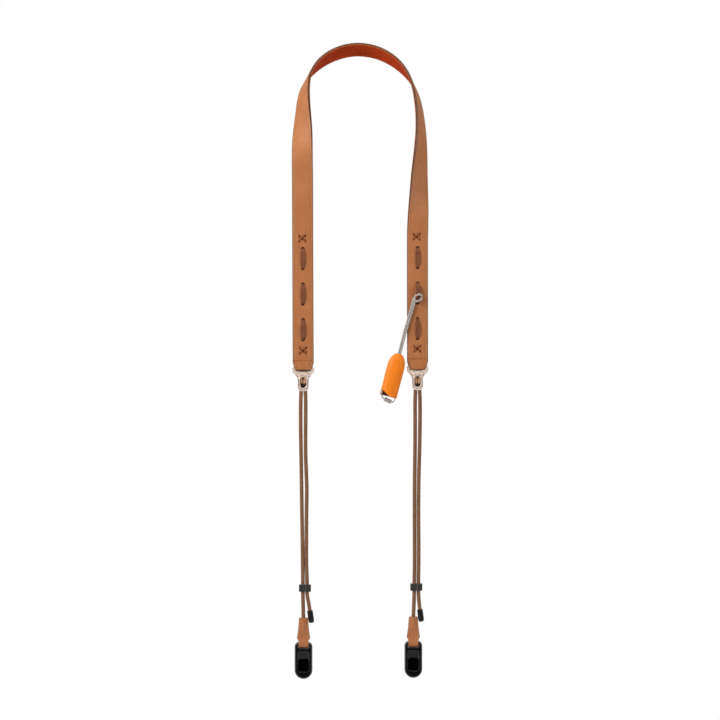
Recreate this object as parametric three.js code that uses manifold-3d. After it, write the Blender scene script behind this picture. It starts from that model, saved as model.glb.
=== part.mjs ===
// Camera neck strap: a leather band draped over a neck, with laced loops, cast end rings,
// adjuster cords with sliders, leather tabs, plastic quick connectors and an orange sleeve tag.
// Millimetres, +Z up. The origin is where the middle of the band's underside rests on the neck,
// the legs hang in front of it (towards -Y), and the wearer's left-hand leg in the view is at -X.

import * as THREE from 'three';
import { mergeVertices } from 'three/addons/utils/BufferGeometryUtils.js';
import Module from 'manifold-3d';

const wasm = await Module();
wasm.setup();

// Leather band
const strapWidth = 22;
const outerThickness = 1.5;
const liningThickness = 1.0;
const plyGap = 0.3;
const edgeBevel = 0.35;
const legSpan = 120.4;
const crownDepth = 54.5;
const crownRise = 200;
const footTaperHeight = 9.5;
const footWidth = 15.4;
const tailLength = 26;
const tailSettle = 7;

// Small running gap between pieces that touch on the real strap
const fitGap = 0.3;

// Laced loops
const laceDiameter = 3.0;
const laceLength = 23.7;
const laceHoleDiameter = 4.8;
const lacePitch = 37.2;
const laceAboveFold = 43.5;
const laceStandOff = 0.25;
const laceSpacing = 0.96;
const laceCleft = 0.45;
const laceFirmness = 0.25;
const loopsPerLeg = 3;

// Cast end ring
const barDiameter = 2.6;
const ringWidth = 22.8;
const ringArmDepth = 2.6;
const eyeWidth = 11.2;
const eyeWall = 0.8;
const eyeDepth = 5.8;
const ringDrop = 24.2;
const ringFoot = 3.2;
const shoulderDrop = 9.9;
const shoulderBlend = 1.4;
const shoulderFlare = 1;
const cheekDrop = 4.0;
const cheekInset = 0.5;
const eyeBelowSlot = 0.3;
const windowWidth = 6.2;
const windowHeight = 11.5;
const windowTop = 9.1;
const rimWidth = 1.1;
const rimHeight = 0.4;
const pinDiameter = 1.1;
const slotClearance = 0.4;
const earRadius = 1.9;
const earRise = 1.6;

// Adjuster cord and what is on it
const cordDiameter = 3.9;
const cordFit = 0.2;
const sliderBelowFold = 227.4;
const sliderHeight = 7.4;
const sliderPitch = 4.4;
const sliderSideWall = 1.95;
const sliderFaceWall = 1.35;
const sliderGroove = 1.0;
const sliderCorner = 2.4;
const cordEndLength = 13.1;
const cordEndDiameter = 6.0;
const cordEndBore = 6.5;
const cordEndRows = [
  { radius: 0.50, along: 1.00 }, { radius: 0.88, along: 0.93 }, { radius: 1.00, along: 0.80 },
  { radius: 1.00, along: 0.05 }, { radius: 0.90, along: 0.00 },
];

// Leather tab
const tabHeight = 28.8;
const tabThickness = 1.4;
const tabWidth = 13.6;

// Quick connector
const connectorBarBelowFold = 287.3;
const connectorBarDiameter = 3.0;
const connectorWidth = 18.6;
const connectorDepth = 9;
const connectorTop = 3.6;
const connectorBottom = 35;
const connectorCorner = 5.2;
const connectorEdge = 1.0;
const notchWidth = 11.6;
const notchCorner = 1;
const shelfGap = 0.5;
const facePanelTop = 6.3;
const facePanelHeight = 7.4;
const facePanelDepth = 0.8;
const pocketHeight = 13.8;
const pocketWidth = 11.6;
const pocketDepth = 5.2;
const pocketCorner = 2.6;

// Tag on the right leg
const tagCordDiameter = 1.9;
const tagLean = 14.5;
const tagHang = 61;
const hitchToLoop = 4.0;
const hitchBelowLoop = 0.5;
const tagStandOff = 0.65;
const sleeveLength = 46;
const sleeveWidth = 18.4;
const sleeveDepth = 10;
const sleeveWall = 0.8;
const sleeveBite = 6.5;
const sleeveBiteWidth = 11;
const wireDiameter = 1.3;
const wireLoopWidth = 14.8;
const wireLoopHeight = 26;
const wireLoopTop = 24.8;
const crimpLength = 7.8;
const crimpDiameter = 4.4;
const crimpBevel = 0.6;
const crimpTurn = 10;
const crimpShift = 0.6;
const crimpAlong = 0.973;

// How far a cutting shape runs past the face that it cuts
const overrun = 2;

// One row every 14 to 16 mm from the crown down to where the leg hangs straight. Across is a
// share of half the leg span, forward of the crown's depth, drop of the crown's rise, and roll is
// how far the band's outer face is turned from facing straight forward, in degrees.
const crownRoll = 117.8;
const leftDrape = [
  { across: 0.228, forward: 0.034, drop: 0.007, roll: 117.0 },
  { across: 0.440, forward: 0.101, drop: 0.029, roll: 113.8 },
  { across: 0.626, forward: 0.190, drop: 0.063, roll: 107.6 },
  { across: 0.778, forward: 0.297, drop: 0.107, roll: 97.8 },
  { across: 0.890, forward: 0.412, drop: 0.159, roll: 84.5 },
  { across: 0.952, forward: 0.521, drop: 0.219, roll: 68.0 },
  { across: 0.975, forward: 0.613, drop: 0.283, roll: 56.5 },
  { across: 0.982, forward: 0.693, drop: 0.349, roll: 47.5 },
  { across: 0.988, forward: 0.771, drop: 0.416, roll: 35.5 },
  { across: 0.995, forward: 0.858, drop: 0.481, roll: 23.0 },
  { across: 1.001, forward: 0.940, drop: 0.548, roll: 12.5 },
  { across: 1.003, forward: 0.986, drop: 0.616, roll: 5.5 },
  { across: 1.001, forward: 1.000, drop: 0.686, roll: 1.5 },
  { across: 1.000, forward: 1.000, drop: 0.756, roll: 0 },
];
const rightDrape = [
  { across: 0.261, forward: 0.007, drop: 0.013, roll: 115.9 },
  { across: 0.498, forward: 0.058, drop: 0.046, roll: 111.2 },
  { across: 0.696, forward: 0.138, drop: 0.094, roll: 103.6 },
  { across: 0.848, forward: 0.237, drop: 0.153, roll: 92.8 },
  { across: 0.947, forward: 0.341, drop: 0.221, roll: 81.5 },
  { across: 1.003, forward: 0.438, drop: 0.294, roll: 74.5 },
  { across: 1.034, forward: 0.526, drop: 0.369, roll: 70.0 },
  { across: 1.049, forward: 0.605, drop: 0.446, roll: 64.5 },
  { across: 1.048, forward: 0.674, drop: 0.524, roll: 57.5 },
  { across: 1.037, forward: 0.732, drop: 0.602, roll: 50.0 },
  { across: 1.024, forward: 0.790, drop: 0.681, roll: 42.5 },
  { across: 1.018, forward: 0.859, drop: 0.758, roll: 34.5 },
  { across: 1.012, forward: 0.930, drop: 0.836, roll: 24.5 },
  { across: 1.005, forward: 0.980, drop: 0.915, roll: 12.5 },
  { across: 1.001, forward: 0.998, drop: 0.985, roll: 3.5 },
  { across: 1.000, forward: 1.000, drop: 1.050, roll: 0 },
];

// One laced loop from its upper hole to its lower one. Along is a share of half the distance
// between the holes, lift of the lace's height over the leather, spread of its full width.
const plainLoop = [
  { along: 0.99, lift: -0.55, spread: 0.62 },
  { along: 0.97, lift: 0.25, spread: 0.66 },
  { along: 0.89, lift: 0.86, spread: 0.80 },
  { along: 0.75, lift: 1.00, spread: 0.96 },
  { along: 0.00, lift: 1.00, spread: 1.00 },
  { along: -0.75, lift: 1.00, spread: 0.96 },
  { along: -0.89, lift: 0.86, spread: 0.80 },
  { along: -0.97, lift: 0.25, spread: 0.66 },
  { along: -0.99, lift: -0.55, spread: 0.62 },
];

// The loop that carries the tag is lifted off the leather near its lower end.
const tagLoop = [
  { along: 0.99, lift: -0.24, spread: 0.62 },
  { along: 0.97, lift: 0.12, spread: 0.66 },
  { along: 0.89, lift: 0.38, spread: 0.80 },
  { along: 0.74, lift: 0.50, spread: 0.96 },
  { along: 0.30, lift: 0.70, spread: 1.00 },
  { along: -0.05, lift: 0.94, spread: 1.00 },
  { along: -0.35, lift: 1.00, spread: 1.00 },
  { along: -0.70, lift: 1.00, spread: 1.00 },
  { along: -0.92, lift: 0.84, spread: 0.88 },
  { along: -0.99, lift: 0.40, spread: 0.70 },
  { along: -0.99, lift: -0.24, spread: 0.62 },
];
const tagLoopIndex = 1;

// The folded tab from its top down to the connector's bar. Drop is a share of its height, width
// of its widest place, open of the room inside that the cord needs.
const tabRows = [
  { drop: 0.00, width: 0.68, open: 1.00 },
  { drop: 0.16, width: 0.74, open: 1.00 },
  { drop: 0.36, width: 0.80, open: 1.00 },
  { drop: 0.50, width: 0.87, open: 0.45 },
  { drop: 0.63, width: 0.95, open: 0.12 },
  { drop: 0.72, width: 1.00, open: 0.14 },
  { drop: 0.78, width: 0.92, open: 0.35 },
  { drop: 0.82, width: 0.81, open: 0.52 },
  { drop: 0.91, width: 0.81, open: 0.84 },
];
const tabFoldWidth = 0.79;

// The tag's sleeve from its top down: shares of its length, width and depth.
const sleeveRows = [
  { along: 0.00, width: 0.35, depth: 0.52 },
  { along: 0.04, width: 0.55, depth: 0.66 },
  { along: 0.10, width: 0.77, depth: 0.82 },
  { along: 0.20, width: 0.94, depth: 0.95 },
  { along: 0.34, width: 1.00, depth: 1.00 },
  { along: 1.00, width: 0.98, depth: 1.00 },
];

// The tag's wire loop, round from one end of its crimp to the other: across is a share of half
// its width, along of its height from its top.
const wireRows = [
  { across: -0.25, along: 0.957 }, { across: -0.43, along: 0.946 }, { across: -0.68, along: 0.915 },
  { across: -0.90, along: 0.840 }, { across: -0.99, along: 0.735 }, { across: -1.00, along: 0.585 },
  { across: -1.00, along: 0.315 }, { across: -0.87, along: 0.160 }, { across: -0.56, along: 0.045 },
  { across: 0.00, along: 0.000 }, { across: 0.56, along: 0.045 }, { across: 0.87, along: 0.160 },
  { across: 1.00, along: 0.315 }, { across: 1.00, along: 0.585 }, { across: 1.00, along: 0.800 },
  { across: 0.93, along: 0.930 }, { across: 0.78, along: 0.998 }, { across: 0.58, along: 1.000 },
  { across: 0.41, along: 0.990 },
];

// The two legs. Foot shift is how far the leg has drifted towards +X by its foot, fold drop is the
// height from the crown to the bottom of the leather's fold, and the shifts place the slider and
// the connector to the side of the foot.
const legs = {
  left: { side: -1, drape: leftDrape, footShift: 0.7, foldDrop: 342.7, sliderShift: 1.8, connectorShift: 0.3 },
  right: {
    side: 1, drape: rightDrape, footShift: 0.1, foldDrop: 341.6, sliderShift: -1.3, connectorShift: -4.4,
  },
};

// Routes of the cords, in millimetres. The adjuster cords are given as x and z, because they lie
// in the rings' plane; each runs from inside the tab up round the ring's pin and down to its end.
const adjusterRoutes = {
  left: [
    [-59.3, -611.0], [-59.4, -599.0], [-59.6, -588.0], [-59.9, -577.0], [-59.9, -570.1],
    [-59.9, -563.0], [-60.1, -545.0], [-60.4, -520.0], [-60.9, -490.0], [-61.3, -460.0],
    [-61.8, -430.0], [-62.2, -400.0], [-62.15, -375.0], [-61.85, -366.0], [-61.6, -359.2],
    [-61.55, -355.8], [-61.6, -352.6], [-62.2, -349.05], [-61.41, -347.14], [-59.5, -346.35],
    [-57.59, -347.14], [-56.8, -349.05], [-57.4, -352.6], [-57.45, -355.8], [-57.4, -359.2],
    [-57.2, -366.0], [-56.95, -375.0], [-57.0, -390.0], [-57.0, -430.0], [-56.4, -447.0],
    [-55.8, -465.0], [-56.0, -485.0], [-56.2, -515.0], [-56.1, -545.0], [-55.5, -563.0],
    [-55.5, -570.1], [-55.4, -577.0], [-53.7, -586.5], [-51.7, -599.7],
  ],
  right: [
    [55.9, -610.3], [56.0, -598.5], [56.5, -587.0], [56.8, -576.0], [56.8, -569.0],
    [56.9, -562.0], [57.2, -545.0], [57.2, -520.0], [57.1, -490.0], [57.2, -460.0],
    [57.6, -430.0], [57.8, -400.0], [57.75, -375.0], [58.0, -366.0], [58.2, -358.2],
    [58.25, -354.8], [58.2, -351.5], [57.6, -347.95], [58.39, -346.04], [60.3, -345.25],
    [62.21, -346.04], [63.0, -347.95], [62.4, -351.5], [62.35, -354.8], [62.4, -358.2],
    [62.6, -366.0], [62.9, -375.0], [62.9, -395.0], [62.3, -430.0], [61.8, -447.0],
    [61.5, -465.0], [61.3, -490.0], [61.5, -520.0], [61.5, -545.0], [61.2, -562.0],
    [61.2, -569.0], [61.3, -576.0], [62.0, -586.0], [63.5, -598.5],
  ],
};

// The tag's cord runs from the wire loop up through the sleeve, hitches round the lace and comes
// back down beside itself.
const tagRoute = [
  [33.9, -59.9, -352.8], [34.6, -60.8, -350.1], [35.4, -60.4, -345.4], [37.1, -58.9, -336.8],
  [41.6, -58.9, -319.3], [47.1, -58.9, -298.0], [51.6, -59.0, -280.6], [53.8, -59.1, -271.0],
  [54.9, -58.9, -267.0], [57.2, -58.6, -264.9], [61.8, -58.6, -264.3], [64.4, -60.0, -264.2],
  [64.5, -62.4, -263.9], [62.8, -64.0, -262.7], [60.2, -64.2, -262.8], [57.6, -64.2, -264.0],
  [55.9, -64.0, -265.9], [55.8, -63.9, -268.0], [57.6, -64.1, -269.5], [60.2, -64.2, -269.3],
  [62.8, -64.0, -268.1], [64.5, -62.4, -266.7], [64.4, -60.0, -266.7], [61.8, -58.6, -267.0],
  [58.0, -58.6, -267.6], [56.4, -58.8, -269.6], [55.4, -59.0, -272.6], [53.5, -59.0, -281.1],
  [49.0, -58.9, -298.5], [43.4, -58.9, -319.8], [39.0, -58.9, -337.3], [36.3, -57.4, -345.6],
  [34.6, -57.0, -350.1], [33.9, -57.9, -352.8],
];

// Shared places
const halfWidth = strapWidth / 2;
const halfSpan = legSpan / 2;
const outerFrom = liningThickness + plyGap;
const outerTo = outerFrom + outerThickness;
const outerMiddle = (outerFrom + outerTo) / 2;
const legInnerY = -crownDepth;
const outerPlyY = legInnerY - outerMiddle;
const leatherFaceY = legInnerY - outerTo;
const foldRadius = barDiameter / 2 + fitGap + outerThickness / 2;
const hardwareY = outerPlyY + foldRadius;
const barAboveFold = barDiameter / 2 + fitGap + outerThickness;

for (const leg of Object.values(legs)) {
  leg.footX = leg.side * halfSpan + leg.footShift;
  leg.foldZ = -leg.foldDrop;
  leg.barZ = leg.foldZ + barAboveFold;
  leg.sliderX = leg.footX + leg.sliderShift;
  leg.sliderZ = leg.foldZ - sliderBelowFold;
  leg.connectorX = leg.footX + leg.connectorShift;
  leg.connectorZ = leg.foldZ - connectorBarBelowFold;
}

const leather = { color: 0xbb7a4b, roughness: 0.55, metalness: 0 };
const liningLeather = { color: 0x93390f, roughness: 0.6, metalness: 0 };
const laceFinish = { color: 0x8a5637, roughness: 0.7, metalness: 0 };
const braidFinish = { color: 0x7a4f39, roughness: 0.85, metalness: 0 };
const castFinish = { color: 0xd6c9be, roughness: 0.35, metalness: 0.9 };
const plasticFinish = { color: 0x1d1e20, roughness: 0.5, metalness: 0 };
const greyBraidFinish = { color: 0xb3aaa2, roughness: 0.8, metalness: 0 };
const orangeFinish = { color: 0xf58a30, roughness: 0.5, metalness: 0 };
const steelFinish = { color: 0xc4c1bd, roughness: 0.3, metalness: 1 };

const group = new THREE.Group();

function addPiece(name, geometry, finish, parent = group) {
  const mesh = new THREE.Mesh(geometry, new THREE.MeshStandardMaterial(finish));
  mesh.name = name;
  parent.add(mesh);
  return mesh;
}

// A closed geometry as a solid that can be joined and cut, and back again.
function toSolid(geometry) {
  const bare = geometry.clone();
  bare.deleteAttribute('normal');
  bare.deleteAttribute('uv');
  const welded = mergeVertices(bare, 1e-4);
  return new wasm.Manifold(new wasm.Mesh({
    numProp: 3,
    vertProperties: new Float32Array(welded.attributes.position.array),
    triVerts: new Uint32Array(welded.index.array),
  }));
}

function toGeometry(solid) {
  const mesh = solid.getMesh();
  const geometry = new THREE.BufferGeometry();
  geometry.setAttribute('position', new THREE.BufferAttribute(mesh.vertProperties, 3));
  geometry.setIndex(new THREE.BufferAttribute(mesh.triVerts, 1));
  return geometry;
}

// A closed sweep of a section through stations. A station has its place, the directions across
// and out, and the shares by which it scales the section's width and height. The section runs
// anticlockwise seen with across to the right and out upwards. Faces above and below one another
// are split along the same diagonal, so that twisted plies nest.
function sweep(stations, section) {
  const positions = [];
  const indices = [];
  const sides = section.length;
  for (const station of stations) {
    for (const [u, v] of section) {
      const point = station.at.clone()
        .addScaledVector(station.across, u * (station.width ?? 1))
        .addScaledVector(station.out, v * (station.height ?? 1));
      positions.push(point.x, point.y, point.z);
    }
  }
  for (let i = 0; i + 1 < stations.length; i += 1) {
    for (let j = 0; j < sides; j += 1) {
      const a = i * sides + j;
      const b = i * sides + ((j + 1) % sides);
      if (section[(j + 1) % sides][0] >= section[j][0]) {
        indices.push(a, b, b + sides, a, b + sides, a + sides);
      } else {
        indices.push(a, b, a + sides, b, b + sides, a + sides);
      }
    }
  }
  const last = (stations.length - 1) * sides;
  const corners = section.map(([u, v]) => new THREE.Vector2(u, v));
  for (const [a, b, c] of THREE.ShapeUtils.triangulateShape(corners, [])) {
    indices.push(c, b, a);
    indices.push(last + a, last + b, last + c);
  }
  const geometry = new THREE.BufferGeometry();
  geometry.setAttribute('position', new THREE.Float32BufferAttribute(positions, 3));
  geometry.setIndex(indices);
  return geometry;
}

// A flat shape drawn in x and z, given a depth along Y between a back and a front face.
function plate(shape, backY, frontY, segments = 6, bevel = 0) {
  const options = { depth: backY - frontY - 2 * bevel, curveSegments: segments, bevelEnabled: bevel > 0 };
  if (bevel > 0) {
    Object.assign(options, { bevelThickness: bevel, bevelSize: bevel, bevelOffset: -bevel, bevelSegments: 1 });
  }
  return new THREE.ExtrudeGeometry(shape, options).rotateX(Math.PI / 2).translate(0, backY - bevel, 0);
}

// A rectangle with round corners between two heights, centred across.
function roundedSlab(width, low, high, radius) {
  const half = width / 2;
  const shape = new THREE.Shape();
  shape.moveTo(-half + radius, low);
  shape.lineTo(half - radius, low);
  shape.absarc(half - radius, low + radius, radius, -Math.PI / 2, 0, false);
  shape.absarc(half - radius, high - radius, radius, 0, Math.PI / 2, false);
  shape.absarc(-half + radius, high - radius, radius, Math.PI / 2, Math.PI, false);
  shape.absarc(-half + radius, low + radius, radius, Math.PI, Math.PI * 1.5, false);
  return shape;
}

function crossBar(diameter, length, sides) {
  return new THREE.CylinderGeometry(diameter / 2, diameter / 2, length, sides).rotateZ(Math.PI / 2);
}

// Section of a flat ply between two heights, with its four edges bevelled.
function plySection(low, high, bevel) {
  return [
    [-halfWidth + bevel, low], [0, low], [halfWidth - bevel, low], [halfWidth, low + bevel],
    [halfWidth, high - bevel], [halfWidth - bevel, high], [0, high], [-halfWidth + bevel, high],
    [-halfWidth, high - bevel], [-halfWidth, low + bevel],
  ];
}

// Section of a ply with square edges.
function squareSection(low, high) {
  return [
    [-halfWidth, low], [0, low], [halfWidth, low], [halfWidth, high], [0, high], [-halfWidth, high],
  ];
}

// The band's underside line over the neck, as two smooth curves through the rows: its place and
// its roll.
function drapePoint(row, side) {
  return new THREE.Vector3(side * row.across * halfSpan, -row.forward * crownDepth, -row.drop * crownRise);
}

const drapeRows = [
  ...leftDrape.toReversed().map((row) => ({ point: drapePoint(row, -1), roll: row.roll })),
  { point: new THREE.Vector3(), roll: crownRoll },
  ...rightDrape.map((row) => ({ point: drapePoint(row, 1), roll: row.roll })),
];
const drapeCurve = new THREE.CatmullRomCurve3(drapeRows.map((row) => row.point), false, 'catmullrom', 0.5);
const rollCurve = new THREE.CatmullRomCurve3(
  drapeRows.map((row) => new THREE.Vector3(row.roll, 0, 0)), false, 'catmullrom', 0.5);

function bandStation(at, along, rollDegrees) {
  const forward = new THREE.Vector3(0, -1, 0);
  const level = forward.addScaledVector(along, -forward.dot(along)).normalize();
  const sideways = new THREE.Vector3().crossVectors(along, level);
  const roll = THREE.MathUtils.degToRad(rollDegrees);
  const out = level.multiplyScalar(Math.cos(roll)).addScaledVector(sideways, -Math.sin(roll));
  return { at, out, across: new THREE.Vector3().crossVectors(out, along), width: 1 };
}

function drapeStations(stepsPerRow) {
  const steps = (drapeRows.length - 1) * stepsPerRow;
  const stations = [];
  for (let i = 0; i <= steps; i += 1) {
    const share = i / steps;
    const roll = rollCurve.getPoint(share).x;
    stations.push(bandStation(drapeCurve.getPoint(share), drapeCurve.getTangent(share), roll));
  }
  return stations;
}

// Stations of one leg below the drape, from its foot up. They hold the underside line of the
// front ply; the fold wraps the ring's bar and the tail lies behind.
function legX(leg, z) {
  const startZ = -leg.drape.at(-1).drop * crownRise;
  const share = (startZ - z) / (startZ - leg.barZ);
  return leg.side * halfSpan + leg.footShift * THREE.MathUtils.clamp(share, 0, 1);
}

function footShare(heightAboveFold) {
  const share = THREE.MathUtils.clamp(heightAboveFold / footTaperHeight, 0, 1);
  return THREE.MathUtils.lerp(footWidth / strapWidth, 1, share);
}

const up = new THREE.Vector3(0, 0, 1);
const down = new THREE.Vector3(0, 0, -1);

function frontStation(leg, z) {
  const station = bandStation(new THREE.Vector3(legX(leg, z), legInnerY, z), leg.side < 0 ? up : down, 0);
  station.width = footShare(z - leg.foldZ);
  return station;
}

function foldStations(leg) {
  const stations = [];
  const tailTop = leg.foldZ + tailLength;
  const across = new THREE.Vector3(leg.side, 0, 0);
  const undersideRadius = foldRadius - outerMiddle;
  const tailShift = 2 * foldRadius - outerThickness - fitGap;
  for (const height of [1, 0.75, 0.5, 0.25, 0]) {
    const rise = earRise + height * tailSettle;
    const settled = tailShift * THREE.MathUtils.smoothstep(height, 0, 1);
    const slope = tailShift * 6 * height * (1 - height) / tailSettle;
    const out = new THREE.Vector3(0, 1, slope).normalize();
    const middle = new THREE.Vector3(leg.footX, hardwareY + foldRadius - settled, leg.barZ + rise);
    const at = middle.addScaledVector(out, -outerMiddle);
    stations.push({ at, out, across, width: footShare(barAboveFold + rise) });
  }
  const tailY = outerPlyY + outerThickness + fitGap - outerMiddle;
  const flat = new THREE.Vector3(0, 1, 0);
  for (const z of [leg.barZ + earRise + tailSettle + 1, tailTop]) {
    stations.unshift({ at: new THREE.Vector3(leg.footX, tailY, z), out: flat, across, width: 1 });
  }
  const arcSteps = 8;
  for (let i = 0; i <= arcSteps; i += 1) {
    const angle = Math.PI * i / arcSteps;
    const out = new THREE.Vector3(0, Math.cos(angle), -Math.sin(angle));
    const at = new THREE.Vector3(leg.footX, hardwareY, leg.barZ).addScaledVector(out, undersideRadius);
    stations.push({ at, out, across, width: footShare(barAboveFold * (1 - Math.sin(angle))) });
  }
  return stations;
}

function outerStations(leg) {
  const taperShares = [0.53, 0.74, 1];
  return [
    ...foldStations(leg),
    ...taperShares.map((share) => frontStation(leg, leg.foldZ + share * footTaperHeight)),
  ];
}

function laceCentres(leg) {
  return Array.from({ length: loopsPerLeg }, (_, i) =>
    leg.foldZ + laceAboveFold + (loopsPerLeg - 1 - i) * lacePitch);
}

const laceHoleReach = (laceLength - laceHoleDiameter) / 2;

function laceHoles() {
  const depth = outerThickness + overrun;
  const holes = [];
  for (const leg of Object.values(legs)) {
    for (const centre of laceCentres(leg)) {
      for (const end of [-1, 1]) {
        const z = centre + end * laceHoleReach;
        const drill = new THREE.CylinderGeometry(laceHoleDiameter / 2, laceHoleDiameter / 2, depth, 10);
        holes.push(toSolid(drill.translate(legX(leg, centre), outerPlyY, z)));
      }
    }
  }
  return holes;
}

// Outer leather band
function strapOuter() {
  const stations = [
    ...outerStations(legs.left),
    ...drapeStations(2),
    ...outerStations(legs.right).toReversed(),
  ];
  let band = toSolid(sweep(stations, plySection(outerFrom, outerTo, edgeBevel)));
  for (const hole of laceHoles()) {
    band = band.subtract(hole);
  }
  return toGeometry(band);
}

// Lining, from just above one tail to just above the other
function liningStation(leg) {
  const z = leg.foldZ + tailLength + fitGap;
  return frontStation(leg, z);
}

function strapLining() {
  const stations = [liningStation(legs.left), ...drapeStations(2), liningStation(legs.right)];
  return sweep(stations, squareSection(0, liningThickness));
}

// Lace: two cords side by side, seen as one two-lobed section
function laceSection() {
  const radius = laceDiameter / 2;
  const offset = radius * laceSpacing;
  const lobe = [-100, -50, 0, 50, 100].map((degrees) => {
    const angle = THREE.MathUtils.degToRad(degrees);
    return [offset + radius * Math.cos(angle), radius * Math.sin(angle)];
  });
  const cleft = radius * laceCleft;
  return [...lobe, [0, cleft], ...lobe.map(([u, v]) => [-u, -v]), [0, -cleft]];
}

function laceLoop(rows, lift) {
  const places = rows.map((row) => new THREE.Vector3(0, -row.lift * lift, row.along * laceHoleReach));
  const stations = rows.map((row, i) => {
    const ahead = places[Math.min(i + 1, rows.length - 1)];
    const behind = places[Math.max(i - 1, 0)];
    const along = ahead.clone().sub(behind).normalize();
    const across = new THREE.Vector3(1, 0, 0);
    const out = new THREE.Vector3().crossVectors(along, across);
    return { at: places[i], across, out, width: row.spread, height: Math.min(1, row.spread + laceFirmness) };
  });
  return sweep(stations, laceSection());
}

// Cast end ring, drawn about the middle of its bar: ears, arms and eye plate, a deeper eye with
// its window and rim, and the pin inside that the cord goes round
function ringOutline() {
  const half = ringWidth / 2;
  const eyeHalf = eyeWidth / 2;
  const slotHalf = footWidth / 2 + slotClearance;
  const slotFloor = -(barAboveFold + slotClearance);
  const earZ = earRise - earRadius;
  const footZ = -ringDrop + ringFoot;
  const shoulderZ = -shoulderDrop - shoulderBlend;
  const shape = new THREE.Shape();
  shape.moveTo(-eyeHalf + ringFoot, -ringDrop);
  shape.lineTo(eyeHalf - ringFoot, -ringDrop);
  shape.absarc(eyeHalf - ringFoot, footZ, ringFoot, -Math.PI / 2, 0, false);
  shape.lineTo(eyeHalf, shoulderZ);
  shape.quadraticCurveTo(eyeHalf, -shoulderDrop, eyeHalf + shoulderFlare, -shoulderDrop + shoulderFlare);
  shape.lineTo(half - cheekInset, -cheekDrop);
  shape.absarc(half - earRadius, earZ, earRadius, -Math.PI / 6, Math.PI / 2, false);
  shape.lineTo(slotHalf, earRise);
  shape.lineTo(slotHalf, slotFloor);
  shape.lineTo(-slotHalf, slotFloor);
  shape.lineTo(-slotHalf, earRise);
  shape.lineTo(-half + earRadius, earRise);
  shape.absarc(-half + earRadius, earZ, earRadius, Math.PI / 2, Math.PI * 7 / 6, false);
  shape.lineTo(-half + cheekInset, -cheekDrop);
  shape.lineTo(-eyeHalf - shoulderFlare, -shoulderDrop + shoulderFlare);
  shape.quadraticCurveTo(-eyeHalf, -shoulderDrop, -eyeHalf, shoulderZ);
  shape.lineTo(-eyeHalf, footZ);
  shape.absarc(-eyeHalf + ringFoot, footZ, ringFoot, Math.PI, Math.PI * 1.5, false);
  return shape;
}

const cordRoom = cordDiameter + 2 * cordFit;
const pinTurn = pinDiameter / 2 + cordFit + cordDiameter / 2;
const eyeTop = -(barAboveFold + slotClearance + eyeBelowSlot);
const cavityTop = eyeTop - eyeWall;
const pinZ = cavityTop - cordFit - cordDiameter / 2 - pinTurn;

function endRing() {
  const armHalf = ringArmDepth / 2;
  const eyeHalf = eyeDepth / 2;
  const roomHalf = cordRoom / 2;
  const low = -(windowTop + windowHeight);
  const windowShape = roundedSlab(windowWidth, low, -windowTop, windowWidth / 2);
  const rimShape = roundedSlab(
    windowWidth + 2 * rimWidth, low - rimWidth, -windowTop + rimWidth, windowWidth / 2 + rimWidth);
  const cavityWidth = eyeWidth - 2 * eyeWall;
  const cavityShape = roundedSlab(cavityWidth, -ringDrop - 2 * overrun, cavityTop, ringFoot - eyeWall / 2);
  const pin = new THREE.CylinderGeometry(pinDiameter / 2, pinDiameter / 2, cordRoom + eyeWall, 8);
  return toGeometry(
    toSolid(plate(ringOutline(), armHalf, -armHalf, 4))
      .add(toSolid(crossBar(barDiameter, footWidth + 4 * slotClearance, 10)))
      .add(toSolid(plate(roundedSlab(eyeWidth, -ringDrop, eyeTop, ringFoot), eyeHalf, -eyeHalf, 3)))
      .add(toSolid(plate(rimShape, 0, -eyeHalf - rimHeight, 4)))
      .subtract(toSolid(plate(cavityShape, roomHalf, -roomHalf, 3)))
      .subtract(toSolid(plate(windowShape, 0, -eyeHalf - 2 * rimHeight, 4)))
      .add(toSolid(pin.translate(0, 0, pinZ))));
}

// Round cord along a route. Its steps fall evenly between the chosen points, so that tight bends
// get short steps.
class CordRoute extends THREE.CatmullRomCurve3 {
  getPointAt(share, target) {
    return this.getPoint(share, target);
  }

  getTangentAt(share, target) {
    return this.getTangent(share, target);
  }
}

function roundSection(diameter, sides) {
  const corners = Array.from({ length: sides }, (_, i) => {
    const angle = 2 * Math.PI * i / sides;
    return new THREE.Vector2(Math.cos(angle), Math.sin(angle)).multiplyScalar(diameter / 2);
  });
  return new THREE.Shape(corners);
}

function cordAlong(points, diameter, sides, stepsPerPoint = 2) {
  const extrudePath = new CordRoute(points);
  const steps = stepsPerPoint * (points.length - 1);
  return new THREE.ExtrudeGeometry(roundSection(diameter, sides), { extrudePath, steps });
}

function adjusterPoints(route) {
  return route.map(([x, z]) => new THREE.Vector3(x, hardwareY, z));
}

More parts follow.
